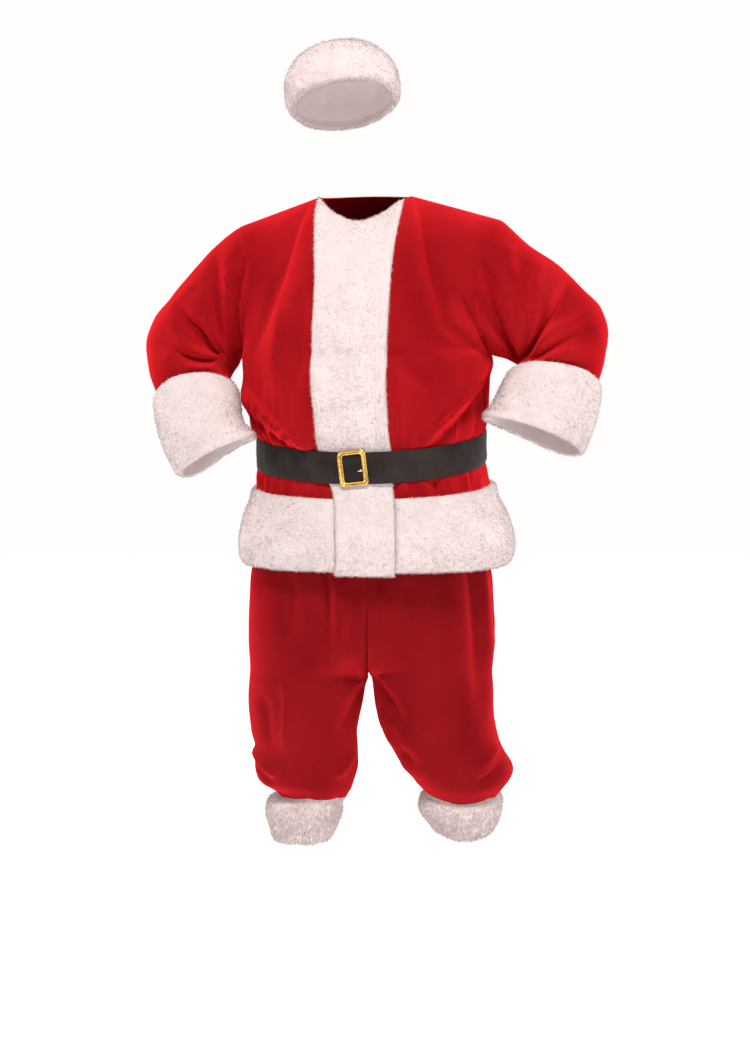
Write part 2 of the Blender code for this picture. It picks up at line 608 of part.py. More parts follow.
def sleeve_grid(side):
    """One sleeve as a closed grid: its rows run from the armhole to inside the cuff."""
    table = sleeve_table(side)
    rows = np.linspace(0, len(table) - 1, (len(table) - 1) * SLEEVE_STEPS + 1)[:, None]
    turns = (np.arange(2 * UPPER_ROWS) * math.pi / UPPER_ROWS)[None, :]
    grid = tube_section(table, *np.broadcast_arrays(rows, turns), armhole=True)
    return grid, grid_normals(grid, row_cores(grid), wrap=True)


def make_jacket(red):
    """The fronts, the back and the sleeves, whose seams meet point for point; the panels' grids."""
    panels = jacket_grids()
    sleeves = {side: sleeve_grid(side) for side in ("left", "right")}
    share_normals(list(panels.values()) + list(sleeves.values()))
    edges = ("last_row", "first_column", "last_column")
    low = JACKET_ROWS.index(JACKET_BOTTOM)
    for name, (grid, normals) in panels.items():
        wall(name, trim_edges(grid[low:], edges), normals[low:], CLOTH, red)
    for side, (grid, normals) in sleeves.items():
        wall("sleeve_" + side, trim_edges(grid, ("first_row",), ARMPIT_GAP), normals, CLOTH, red, wrap=True)
    return panels


def band_thickness(height):
    """The front band's thickness, pressed thin under the belt."""
    off_belt = np.clip((abs(height - BELT_HEIGHT) - BELT_WIDTH / 2) / BAND_PRESSED_OVER, 0, 1)
    return BAND_UNDER_BELT + (PLUSH - BAND_UNDER_BELT) * off_belt


def make_layer(name, grid, normals, thickness, finish):
    """A layer that lies on the jacket's outside, from the jacket's own points."""
    off = CLOTH / 2 + LAY_GAP + thickness / 2
    trimmed = trim_edges(grid, ("first_column", "last_column"), LAYER_GAP)
    wall(name, trimmed + normals * off[..., None], normals, thickness, finish)


def make_front_band(panels, white):
    """The plush band down the front, which covers where the two fronts meet."""
    heights = np.array([*JACKET_ROWS, *upper_rows()])[:, None]
    right = zone_columns(ZONES["jacket_front_right"]) >= BAND_RIGHT
    left = zone_columns(ZONES["jacket_front_left"]) <= BAND_LEFT
    grid, normals = [np.concatenate((first[:, right], second[:, left][:, 1:]), axis=1)
                     for first, second in zip(panels["jacket_front_right"], panels["jacket_front_left"])]
    thickness = np.broadcast_to(band_thickness(heights), grid.shape[:2])
    make_layer("front_band", grid, normals, thickness, white)


def make_hem_bands(panels, white):
    """The plush bands around the hem, one on each panel."""
    rows = slice(JACKET_ROWS.index(HEM_BAND_BOTTOM), JACKET_ROWS.index(HEM_BAND_TOP) + 1)
    for name, (grid, normals) in panels.items():
        columns = zone_columns(ZONES[name])
        outside = (columns <= BAND_RIGHT) | (columns >= BAND_LEFT)
        grid, normals = grid[rows, outside], normals[rows, outside]
        thickness = np.broadcast_to(PLUSH * np.array(HEM_BAND_ROUNDING)[:, None], grid.shape[:2])
        make_layer(name.replace("jacket", "hem_band"), grid, normals, thickness, white)


def make_cuffs(white):
    """The plush sleeve cuffs, wide open tubes that are sewn around the sleeves near their ends."""
    for side, table in CUFFS.items():
        rows = np.linspace(0, len(table) - 1, 2 * (len(table) - 1) + 1)[:, None]
        turns = (np.arange(2 * UPPER_ROWS) * math.pi / UPPER_ROWS)[None, :]
        grid = tube_section(table, *np.broadcast_arrays(rows, turns))
        normals = grid_normals(grid, row_cores(grid), wrap=True)
        sleeve, out = [sheet[CUFF_SEAM_ROW] for sheet in sleeve_grid(side)]
        grid[0] = sleeve + out * (CLOTH / 2 + LAY_GAP + PLUSH / 2)
        normals[0] = out
        wall("sleeve_cuff_" + side, grid, normals, PLUSH, white, wrap=True)


def belt_base(around):
    """How far the belt's inner face lies off the jacket: over the front band it steps out."""
    over = np.clip((BAND_CLEAR - abs((around + 180) % 360 - 180)) / BAND_EASE, 0, 1)
    ease = over * over * (3 - 2 * over)
    return CLOTH / 2 + LAY_GAP + (BAND_UNDER_BELT + BELT_GAP) * ease


def belt_lift(around):
    """How far the strap's first stretch lies over its own free end."""
    over = np.clip((BELT_TAIL_END + TAIL_CLEAR - around) / TAIL_EASE, 0, 1)
    return (BELT_THICKNESS + LAY_GAP) * over * over * (3 - 2 * over)


def make_belt(black):
    """The belt, one long strap."""
    panels = np.concatenate([zone_columns(zones) for zones in ZONES.values()]).round(3) % 360
    turned = np.unique(np.concatenate((panels, panels + 360)))
    end = 360 + BELT_TAIL_END
    between = turned[(turned > BELT_START + 1) & (turned < end - 1)]
    around = np.concatenate(([BELT_START], between, [end]))[None, :]
    heights = np.array((BELT_HEIGHT - BELT_WIDTH / 2, BELT_HEIGHT + BELT_WIDTH / 2))[:, None]
    around, heights = np.broadcast_arrays(around, heights)
    turned = np.where(around > 270, around - 360, around)
    plain = jacket_point(turned, heights)
    normals = grid_normals(plain, place((-0.01, 0.0, plain[..., 2])))
    off = belt_base(around) + np.where(around < 180, belt_lift(around), 0) + BELT_THICKNESS / 2
    wall("belt", plain + normals * off[..., None], normals, BELT_THICKNESS, black)


def buckle_frame():
    """The buckle's middle and its three directions: across, up and out."""
    middle = ring_point(JACKET, np.float64(0.0), np.float64(BELT_HEIGHT))
    out = np.array((-math.sin(TURN), -math.cos(TURN), 0.0))
    level = np.array((math.cos(TURN), -math.sin(TURN), 0.0))
    upright = np.array((0.0, 0.0, 1.0))
    across = level * math.cos(BUCKLE_LEAN) + upright * math.sin(BUCKLE_LEAN)
    up = upright * math.cos(BUCKLE_LEAN) - level * math.sin(BUCKLE_LEAN)
    face = CLOTH / 2 + BAND_UNDER_BELT + BELT_THICKNESS + BUCKLE_CLEARANCE
    return middle + out * face, across, up, out


def rounded_frame(half_width, half_height, corner, steps=3):
    """Points of a rectangle with round corners, counter-clockwise."""
    points = []
    for quarter, (x, y) in enumerate(((1, 1), (-1, 1), (-1, -1), (1, -1))):
        for step in range(steps + 1):
            angle = math.pi / 2 * (quarter + step / steps)
            points.append((x * (half_width - corner) + corner * math.cos(angle),
                           y * (half_height - corner) + corner * math.sin(angle)))
    return np.array(points)


def make_buckle(gold):
    """The buckle's frame, a rounded rectangular ring with a raised middle, and its prong."""
    middle, across, up, out = buckle_frame()
    width, height = BUCKLE_WIDTH / 2, BUCKLE_HEIGHT / 2
    side, end = BUCKLE_SIDE_BAR, BUCKLE_END_BAR
    profile = ((0.0, 0.0), (0.0, 0.6), (0.25, 1.0), (0.75, 1.0), (1.0, 0.6), (1.0, 0.0))
    loops = []
    for inset, rise in profile:
        outline = rounded_frame(width - side * inset, height - end * inset, 0.007 - 0.004 * inset)
        loops.append(middle + outline[:, :1] * across + outline[:, 1:] * up + out * (rise * BUCKLE_DEPTH))
    count = len(loops[0])
    verts = np.concatenate(loops)
    verts[:, 2] -= HELD_HEIGHT
    faces = []
    for loop in range(len(loops)):
        following = (loop + 1) % len(loops)
        for k in range(count):
            after = (k + 1) % count
            faces.append([loop * count + k, loop * count + after,
                          following * count + after, following * count + k])
    solid("belt_buckle", verts, faces, gold)
    prong_start = middle + across * (width - side - SEAM_GAP) - up * 0.006
    prong_end = prong_start - across * 0.009
    thick, tall = 0.0016, 0.0018
    verts = []
    for point, scale in ((prong_start, 1.0), (prong_end, 0.6)):
        for lift, rise in ((0.2, -1), (0.2, 1), (1.2, 1), (1.2, -1)):
            verts.append(point + out * thick * lift + up * tall * rise * scale)
    verts = np.array(verts)
    verts[:, 2] -= HELD_HEIGHT
    faces = [[0, 1, 2, 3], [4, 7, 6, 5], [0, 4, 5, 1], [1, 5, 6, 2], [2, 6, 7, 3], [3, 7, 4, 0]]
    solid("belt_prong", verts, faces, gold, smooth=False)


def waist_point(around, height):
    """Points of the trousers' waist, just inside the jacket where the belt draws it in."""
    ring = ring_point(JACKET, around, np.full_like(around, BELT_HEIGHT))
    middle = np.array((read(JACKET, "centre", BELT_HEIGHT), 0.0, 0.0))
    inset = unit((ring - middle) * (1, 1, 0)) * (CLOTH + WAIST_GAP)
    return place((ring[..., 0] - inset[..., 0], ring[..., 1] - inset[..., 1], height))


def hem_rise(side, height, angle):
    """How far a trouser leg's end and its cuff are pushed up, angle from the leg's own side."""
    middle, ends = HEM_RISE[side]
    share = np.clip((HEM_RISE_TOP - height) / (HEM_RISE_TOP - LEG_ROWS[0]), 0, 1)
    return (middle + (ends - middle) * np.cos(angle) ** 2) * share


def leg_point(side, share, height, face):
    """Points of a trouser panel: share 0 at the seam between the legs, 1 at the outer seam."""
    table = LEGS[side]
    sign = 1 if side == "left" else -1
    centre = (read(table, "centre", height) - CROTCH_X) * sign
    half_width = read(table, "half_width", height)
    limit = np.arccos(np.clip(-centre / half_width, -1, 1))
    angle = limit * (1 - share)
    reach = (abs(np.sin(angle)) ** FULLNESS + abs(np.cos(angle)) ** FULLNESS) ** (-1 / FULLNESS)
    end_reach = (abs(np.sin(limit)) ** FULLNESS + abs(np.cos(limit)) ** FULLNESS) ** (-1 / FULLNESS)
    reach = 1 + (reach - 1) * np.clip(1 - abs(end_reach - 1) * 40, 0, 1)
    depth = read(table, "front" if face == "front" else "back", height)
    forward = -1 if face == "front" else 1
    across = centre + half_width * np.cos(angle) * reach
    leg = place((CROTCH_X + sign * across,
                 read(table, "middle_y", height) + forward * depth * np.sin(angle) * reach,
                 height + hem_rise(side, height, angle)))
    around = sign * (90 * share if face == "front" else 180 - 90 * share)
    rise = np.clip((height - WAIST_FROM) / (LEG_ROWS[-1] - WAIST_FROM), 0, 1)
    share_of_waist = (rise * rise * (3 - 2 * rise))[..., None]
    return leg * (1 - share_of_waist) + waist_point(np.radians(around), height) * share_of_waist


def make_trousers(red):
    """Two front and two back panels, joined at the middle, the outer seams and between the legs."""
    heights = np.array(LEG_ROWS)[:, None]
    shares = np.linspace(0, 1, LEG_COLUMNS)[None, :]
    sheets = {}
    for side in ("left", "right"):
        for face in ("front", "back"):
            grid = leg_point(side, *np.broadcast_arrays(shares, heights), face)
            middle = np.minimum(abs(read(LEGS[side], "centre", heights)), 0.12)
            sign = 1 if side == "left" else -1
            core = place((np.broadcast_to(CROTCH_X + sign * middle, grid.shape[:2]), 0.0, grid[..., 2]))
            normals = grid_normals(grid, core)
            normals[-1] = unit(normals[-1] * (1, 1, 0))
            sheets[face, side] = (grid, normals)
    share_normals(list(sheets.values()))
    for (face, side), (grid, normals) in sheets.items():
        edges = ("first_column", "last_column", "last_row")
        wall(f"trouser_{face}_{side}", trim_edges(grid, edges), normals, CLOTH, red)


def make_waistband(red):
    """The trousers' waistband, a plain band standing on the panels' top edge."""
    around = (np.arange(WAISTBAND_COLUMNS) * 2 * math.pi / WAISTBAND_COLUMNS)[None, :]
    heights = LEG_ROWS[-1] + SEAM_GAP + np.array((0.0, WAISTBAND_WIDTH))[:, None]
    grid = waist_point(*np.broadcast_arrays(around, heights))
    normals = grid_normals(grid, row_cores(grid), wrap=True)
    wall("trouser_waistband", grid, normals, CLOTH, red, wrap=True)


def make_leg_cuffs(white):
    """The plush cuffs that come out of the trouser legs, each thin where the leg's hem holds it."""
    spans = 2 * (LEG_COLUMNS - 1)
    turns = (np.arange(spans) * 2 * math.pi / spans)[None, :]
    reach = (abs(np.sin(turns)) ** FULLNESS + abs(np.cos(turns)) ** FULLNESS) ** (-1 / FULLNESS)
    thickness = np.array(LEG_CUFF_ROUNDING)[:, None] * PLUSH
    for side, table in LEG_CUFFS.items():
        hem = Leg(*[read(LEGS[side], name, LEG_ROWS[0]) for name in Leg._fields])
        inside = CLOTH / 2 + LAY_GAP + thickness[-1, 0] / 2
        neck = [LegCuff(height, hem.centre, hem.half_width - inside, hem.front - inside)
                for height in LEG_CUFF_INSIDE]
        rows = [*table, *neck]
        fields = {name: np.array([getattr(row, name) for row in rows])[:, None] for name in LegCuff._fields}
        grid = place((fields["centre"] + fields["half_width"] * np.cos(turns) * reach,
                      hem.middle_y + fields["depth"] * np.sin(turns) * reach,
                      fields["height"] + hem_rise(side, fields["height"], turns)))
        normals = grid_normals(grid, row_cores(grid), wrap=True)
        normals[-2:] = unit(normals[-2:] * (1, 1, 0))
        wall("leg_cuff_" + side, grid, normals, thickness, white, wrap=True)


def hat_frame():
    """The hat's axis and the two directions across it: to its left and to its back."""
    back_lean, side_lean = HAT_LEAN_BACK, HAT_LEAN_SIDE
    axis = np.array((math.sin(side_lean), math.sin(back_lean), math.cos(back_lean)))
    axis = axis / np.linalg.norm(axis)
    left = np.cross(np.array((0.0, 1.0, 0.0)), axis)
    left = left / np.linalg.norm(left)
    return axis, left, np.cross(axis, left)


def make_hat(white, red):
    """The hat's plush band, and its crown, a cone that lies folded over behind."""
    axis, left, back = hat_frame()
    centre = np.array(HAT_CENTRE)
    turns = (np.arange(HAT_COLUMNS) * 2 * math.pi / HAT_COLUMNS)[None, :, None]
    heights = np.linspace(0, HAT_BAND[-1].height, len(HAT_ROUNDING))[:, None, None]
    radius = read(HAT_BAND, "radius", heights)
    grid = centre + axis * heights + radius * (left * np.cos(turns) + back * np.sin(turns))
    thickness = HAT_PLUSH * np.array(HAT_ROUNDING)[:, None]
    normals = grid_normals(grid, row_cores(grid), wrap=True)
    wall("hat_band", grid, normals, thickness, white, wrap=True)
    inside = (grid - normals * (thickness / 2 + LAY_GAP + CLOTH / 2)[..., None])[-2:]
    bends = {name: np.array([getattr(row, name) for row in HAT_CROWN])[:, None, None]
             for name in Bend._fields}
    tilt = np.radians(bends["tilt"])
    across = back * np.cos(tilt) - axis * np.sin(tilt)
    folded = (centre + back * bends["back"] + axis * bends["height"]
              + bends["half_width"] * left * np.cos(turns) + bends["half_depth"] * across * np.sin(turns))
    grid = np.concatenate((inside, folded))
    wall("hat_crown", grid, grid_normals(grid, row_cores(grid), wrap=True), CLOTH, red, wrap=True)


def make_suit():
    """Build every piece."""
    for old in list(bpy.data.objects):
        bpy.data.objects.remove(old, do_unlink=True)
    red = material("red_velvet", RED, 0.75)
    dark_red = material("red_velvet_trousers", DARK_RED, 0.80)
    white = material("white_plush", WHITE, 0.95)
    black = material("black_vinyl", BLACK, 0.40)
    gold = material("gold_metal", GOLD, 0.25, 1.0)
    panels = make_jacket(red)
    make_front_band(panels, white)
    make_hem_bands(panels, white)
    make_cuffs(white)
    make_belt(black)
    make_buckle(gold)
    make_trousers(dark_red)
    make_waistband(dark_red)
    make_leg_cuffs(white)
    make_hat(white, red)


make_suit()
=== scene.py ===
"""The suit's looks: velvet with its folds, plush with its pile, a vinyl belt, a gold buckle, light and camera."""
import math
from collections import namedtuple

import bmesh
import bpy
import numpy as np
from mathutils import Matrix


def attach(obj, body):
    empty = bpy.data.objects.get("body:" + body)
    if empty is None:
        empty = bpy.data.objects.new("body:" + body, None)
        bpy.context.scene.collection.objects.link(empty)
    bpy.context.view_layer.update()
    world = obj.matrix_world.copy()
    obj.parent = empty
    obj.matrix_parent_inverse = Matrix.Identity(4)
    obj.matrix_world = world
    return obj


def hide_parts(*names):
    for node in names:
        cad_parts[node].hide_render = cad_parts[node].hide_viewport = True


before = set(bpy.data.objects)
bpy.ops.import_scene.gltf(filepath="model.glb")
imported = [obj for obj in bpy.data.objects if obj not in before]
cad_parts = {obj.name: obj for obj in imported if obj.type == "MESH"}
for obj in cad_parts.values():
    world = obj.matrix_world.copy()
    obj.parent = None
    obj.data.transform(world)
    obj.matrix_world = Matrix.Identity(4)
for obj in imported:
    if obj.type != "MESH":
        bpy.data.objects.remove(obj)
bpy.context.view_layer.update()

# Driving dimensions, in metres, as the solids have them. Heights are above the ground under the wearer.
HELD_HEIGHT = 1.49
TURN = math.radians(10.0)
FULLNESS = 2.3
CLOTH = 0.002
PLUSH = 0.011
LAY_GAP = 0.0004
LAYER_GAP = 0.0005
SEAM_GAP = 0.0003
BELT_GAP = 0.0008
FRONT_BAND_BOTTOM = 0.799
HEM_BAND_BOTTOM = 0.806
JACKET_BOTTOM = 0.812
HEM_BAND_TOP = 0.960
ARMPIT_HEIGHT = 1.197
YOKE_RISE = 0.250
SHOULDER_HEIGHT = ARMPIT_HEIGHT + YOKE_RISE
BAND_RIGHT = -22.0
PARTING = 11.0
BAND_LEFT = 24.0
NECK_EDGE = 55.0
SHOULDER = 37.5
BELT_HEIGHT = 1.038
BELT_WIDTH = 0.058
BELT_THICKNESS = 0.0025
BELT_START = 8.3
BELT_TAIL_END = 40.0
TAIL_CLEAR = 10.0
TAIL_EASE = 9.0
BAND_CLEAR = 29.0
BAND_EASE = 6.0
BAND_UNDER_BELT = 0.004
BAND_PRESSED_OVER = 0.02
BUCKLE_WIDTH = 0.054
BUCKLE_HEIGHT = 0.064
BUCKLE_SIDE_BAR = 0.0100
BUCKLE_END_BAR = 0.0075
BUCKLE_DEPTH = 0.0045
BUCKLE_CLEARANCE = 0.0016
BUCKLE_LEAN = math.radians(7.0)

Ring = namedtuple("Ring", "height centre half_width front back drop")
JACKET = (
    Ring(0.790, 0.005, 0.236, 0.208, 0.186, 0.000),
    Ring(0.838, 0.010, 0.251, 0.222, 0.200, 0.000),
    Ring(0.890, 0.008, 0.241, 0.214, 0.190, 0.004),
    Ring(0.935, 0.005, 0.224, 0.200, 0.172, 0.014),
    Ring(1.009, 0.000, 0.213, 0.188, 0.152, 0.046),
    Ring(1.067, 0.000, 0.213, 0.188, 0.152, 0.046),
    Ring(1.096, -0.003, 0.222, 0.199, 0.160, 0.034),
    Ring(1.135, -0.006, 0.227, 0.199, 0.166, 0.014),
    Ring(1.167, -0.009, 0.232, 0.192, 0.166, 0.003),
    Ring(1.197, -0.010, 0.235, 0.184, 0.162, 0.000),
)
DROP_BEND = 1.6
DROP_TILT = 0.03

Zone = namedtuple("Zone", "start end gathers depth")
ZONES = (
    Zone(-90, -55, 5, 0.0070), Zone(-55, -22, 6, 0.0080), Zone(24, 55, 3, 0.0070), Zone(55, 90, 3, 0.0085),
    Zone(90, 127.5, 3, 0.0085), Zone(127.5, 232.5, 6, 0.0100), Zone(232.5, 270, 5, 0.0080),
)
GATHER_REACH = 0.018
GATHER_FADE = (0.905, 0.985)

# The solids' large folds: ends in degrees around and height, ridges up and troughs down
Fold = namedtuple("Fold", "around_0 height_0 around_1 height_1 width lift")
JACKET_FOLDS = (
    Fold(-84, 1.137, -26, 1.076, 0.020, 0.011),
    Fold(-78, 1.108, -34, 1.074, 0.014, -0.006),
    Fold(88, 1.187, 38, 1.098, 0.016, 0.010),
    Fold(84, 1.155, 48, 1.092, 0.014, -0.006),
    Fold(30, 1.190, 44, 1.130, 0.022, -0.006),
    Fold(52, 1.260, 76, 1.200, 0.024, -0.007),
    Fold(-60, 1.300, -48, 1.155, 0.022, -0.006),
    Fold(110, 1.180, 150, 1.095, 0.022, 0.008),
    Fold(250, 1.180, 212, 1.095, 0.022, 0.008),
    Fold(165, 1.125, 195, 1.090, 0.020, -0.006),
)

Band = namedtuple("Band", "height right left")
FRONT_BAND = (
    Band(0.780, -0.038, 0.072),
    Band(0.985, -0.040, 0.071),
    Band(1.067, -0.066, 0.067),
    Band(1.200, -0.068, 0.067),
    Band(1.447, -0.066, 0.064),
)

NECK = {"x": -0.012, "y": 0.015, "half_width": 0.088, "front": 0.088, "back": 0.080,
        "height_front": 1.440, "height_side": 1.494, "height_back": 1.500}

# Sleeve sections: the inner and outer points as the front view shows them, and depth across.
# A slant moves the front down the sleeve and the back up it.
Cut = namedtuple("Cut", "in_x in_y in_z out_x out_y out_z depth front_lift back_lift slant", defaults=(0.0,))
SLEEVES = {
    "left": (
        Cut(0.220, -0.042, 1.197, 0.242, -0.036, 1.446, 0.082, 0.000, 0.000),
        Cut(0.240, -0.046, 1.192, 0.290, -0.028, 1.402, 0.083, -0.010, 0.004),
        Cut(0.251, -0.050, 1.190, 0.344, -0.012, 1.364, 0.082, 0.007, -0.008),
        Cut(0.262, -0.056, 1.188, 0.390, 0.004, 1.320, 0.080, -0.011, 0.006),
        Cut(0.272, -0.064, 1.186, 0.428, 0.012, 1.277, 0.076, 0.006, -0.007),
        Cut(0.278, -0.072, 1.184, 0.438, 0.012, 1.236, 0.072, -0.005, 0.005, -0.003),
        Cut(0.277, -0.079, 1.180, 0.430, 0.004, 1.182, 0.067, 0.003, 0.000, -0.010),
        Cut(0.270, -0.088, 1.172, 0.412, -0.010, 1.127, 0.061, 0.000, 0.000, -0.020),
        Cut(0.262, -0.098, 1.154, 0.398, -0.020, 1.086, 0.059, 0.000, 0.000, -0.018),
    ),
    "right": (
        Cut(-0.242, 0.040, 1.197, -0.250, 0.044, 1.438, 0.082, 0.000, 0.000),
        Cut(-0.253, 0.040, 1.187, -0.302, 0.054, 1.396, 0.083, -0.012, 0.004),
        Cut(-0.257, 0.036, 1.179, -0.348, 0.066, 1.344, 0.082, 0.006, -0.008),
        Cut(-0.262, 0.028, 1.172, -0.385, 0.076, 1.299, 0.080, -0.008, 0.006),
        Cut(-0.267, 0.014, 1.165, -0.415, 0.076, 1.259, 0.076, 0.006, -0.007),
        Cut(-0.271, -0.002, 1.159, -0.429, 0.069, 1.210, 0.072, -0.006, 0.005, -0.003),
        Cut(-0.272, -0.016, 1.154, -0.418, 0.052, 1.156, 0.067, 0.003, 0.000, -0.010),
        Cut(-0.271, -0.030, 1.146, -0.394, 0.030, 1.100, 0.059, 0.000, 0.000, -0.020),
        Cut(-0.272, -0.042, 1.128, -0.378, 0.018, 1.062, 0.053, 0.000, 0.000, -0.018),
    ),
}
Keyed = namedtuple("Keyed", ("stop",) + Cut._fields)
ARMHOLE_HOLLOW = 0.022
CUFF_SEAM = 7.0             # the sleeve section that the cuff is sewn to
CUFFS = {
    "left": (
        Cut(0.262, -0.090, 1.176, 0.420, -0.009, 1.122, 0.071, 0.000, 0.000, -0.020),
        Cut(0.248, -0.112, 1.142, 0.411, -0.022, 1.080, 0.075, 0.000, 0.000, -0.004),
        Cut(0.227, -0.140, 1.106, 0.397, -0.042, 1.040, 0.078, 0.000, -0.013, 0.014),
        Cut(0.207, -0.162, 1.088, 0.383, -0.062, 1.008, 0.078, 0.000, -0.021, 0.020),
    ),
    "right": (
        Cut(-0.262, -0.034, 1.147, -0.403, 0.032, 1.093, 0.071, 0.000, 0.000, -0.020),
        Cut(-0.262, -0.068, 1.113, -0.391, 0.016, 1.050, 0.072, 0.000, 0.000, -0.004),
        Cut(-0.246, -0.115, 1.072,-0.370, -0.024, 1.006, 0.073, 0.000, -0.022, 0.014),
        Cut(-0.220, -0.138, 1.050, -0.348, -0.056, 0.968, 0.073, 0.000, -0.028, 0.020),
    ),
}

# Trouser leg sections: the leg's middle and half width, seen from the front, and its depths
Leg = namedtuple("Leg", "height centre half_width front back middle_y")
CROTCH_X = -0.008
LEGS = {
    "left": (
        Leg(0.352, 0.170, 0.066, 0.064, 0.066, -0.030),
        Leg(0.366, 0.170, 0.078, 0.078, 0.080, -0.030),
        Leg(0.385, 0.170, 0.092, 0.092, 0.094, -0.030),
        Leg(0.415, 0.161, 0.105, 0.100, 0.104, -0.030),
        Leg(0.445, 0.146, 0.104, 0.102, 0.104, -0.030),
        Leg(0.480, 0.131, 0.107, 0.106, 0.104, -0.028),
        Leg(0.535, 0.117, 0.110, 0.112, 0.110, -0.024),
        Leg(0.588, 0.110, 0.110, 0.122, 0.122, -0.016),
        Leg(0.660, 0.060, 0.171, 0.150, 0.140, -0.008),
        Leg(0.760, 0.000, 0.228, 0.176, 0.158, 0.000),
        Leg(0.860, -0.001, 0.212, 0.174, 0.150, 0.000),
        Leg(0.930, -0.002, 0.204, 0.168, 0.138, 0.000),
        Leg(0.995, -0.002, 0.203, 0.168, 0.136, 0.000),
    ),
    "right": (
        Leg(0.352, -0.112, 0.062, 0.064, 0.066, 0.020),
        Leg(0.366, -0.114, 0.073, 0.078, 0.080, 0.020),
        Leg(0.385, -0.126, 0.092, 0.092, 0.094, 0.020),
        Leg(0.415, -0.126, 0.099, 0.098, 0.102, 0.020),
        Leg(0.445, -0.125, 0.097, 0.100, 0.102, 0.020),
        Leg(0.480, -0.130, 0.101, 0.106, 0.104, 0.020),
        Leg(0.535, -0.127, 0.109, 0.112, 0.110, 0.018),
        Leg(0.588, -0.120, 0.113, 0.122, 0.122, 0.012),
        Leg(0.660, -0.066, 0.169, 0.150, 0.140, 0.006),
        Leg(0.760, -0.004, 0.227, 0.176, 0.158, 0.000),
        Leg(0.860, -0.003, 0.212, 0.174, 0.150, 0.000),
        Leg(0.930, -0.002, 0.204, 0.168, 0.138, 0.000),
        Leg(0.995, -0.002, 0.203, 0.168, 0.136, 0.000),
    ),
}
LEG_BOTTOM, LEG_TOP = 0.356, 0.995
HEM_RISE = {"left": (0.003, 0.016), "right": (0.0, 0.0)}   # a hem pushed up: in the middle, at the sides
HEM_RISE_TOP = 0.470
WAIST_FROM = 0.962
WAISTBAND_WIDTH = 0.045
WAIST_GAP = 0.0010

LegCuff = namedtuple("LegCuff", "height centre half_width depth")
LEG_CUFFS = {
    "left": (LegCuff(0.283, 0.176, 0.055, 0.060), LegCuff(0.305, 0.172, 0.067, 0.068),
             LegCuff(0.328, 0.168, 0.075, 0.074), LegCuff(0.345, 0.169, 0.074, 0.073)),
    "right": (LegCuff(0.268, -0.136, 0.051, 0.056), LegCuff(0.295, -0.133, 0.062, 0.066),
              LegCuff(0.326, -0.131, 0.070, 0.072), LegCuff(0.345, -0.127, 0.069, 0.070)),
}
LEG_CUFF_INSIDE = (0.354, 0.385)
LEG_CUFF_NECK = 0.3         # thickness inside the leg's hem, as a share of the plush

Rim = namedtuple("Rim", "height radius")
HAT_CENTRE = (-0.052, 0.020, 1.664)
HAT_LEAN_BACK = math.radians(22.0)
HAT_LEAN_SIDE = math.radians(-7.0)
HAT_BAND = (Rim(0.000, 0.097), Rim(0.022, 0.105), Rim(0.050, 0.104), Rim(0.078, 0.092),
            Rim(0.098, 0.072))
HAT_PLUSH = 0.013
Bend = namedtuple("Bend", "back height half_width half_depth tilt")
HAT_CROWN = (
    Bend(0.006, 0.1035, 0.060, 0.058, 2), Bend(0.046, 0.122, 0.055, 0.022, 48),
    Bend(0.088, 0.121, 0.050, 0.017, 85), Bend(0.116, 0.098, 0.042, 0.017, 112),
    Bend(0.134, 0.068, 0.031, 0.013, 128), Bend(0.146, 0.042, 0.014, 0.007, 135),
)

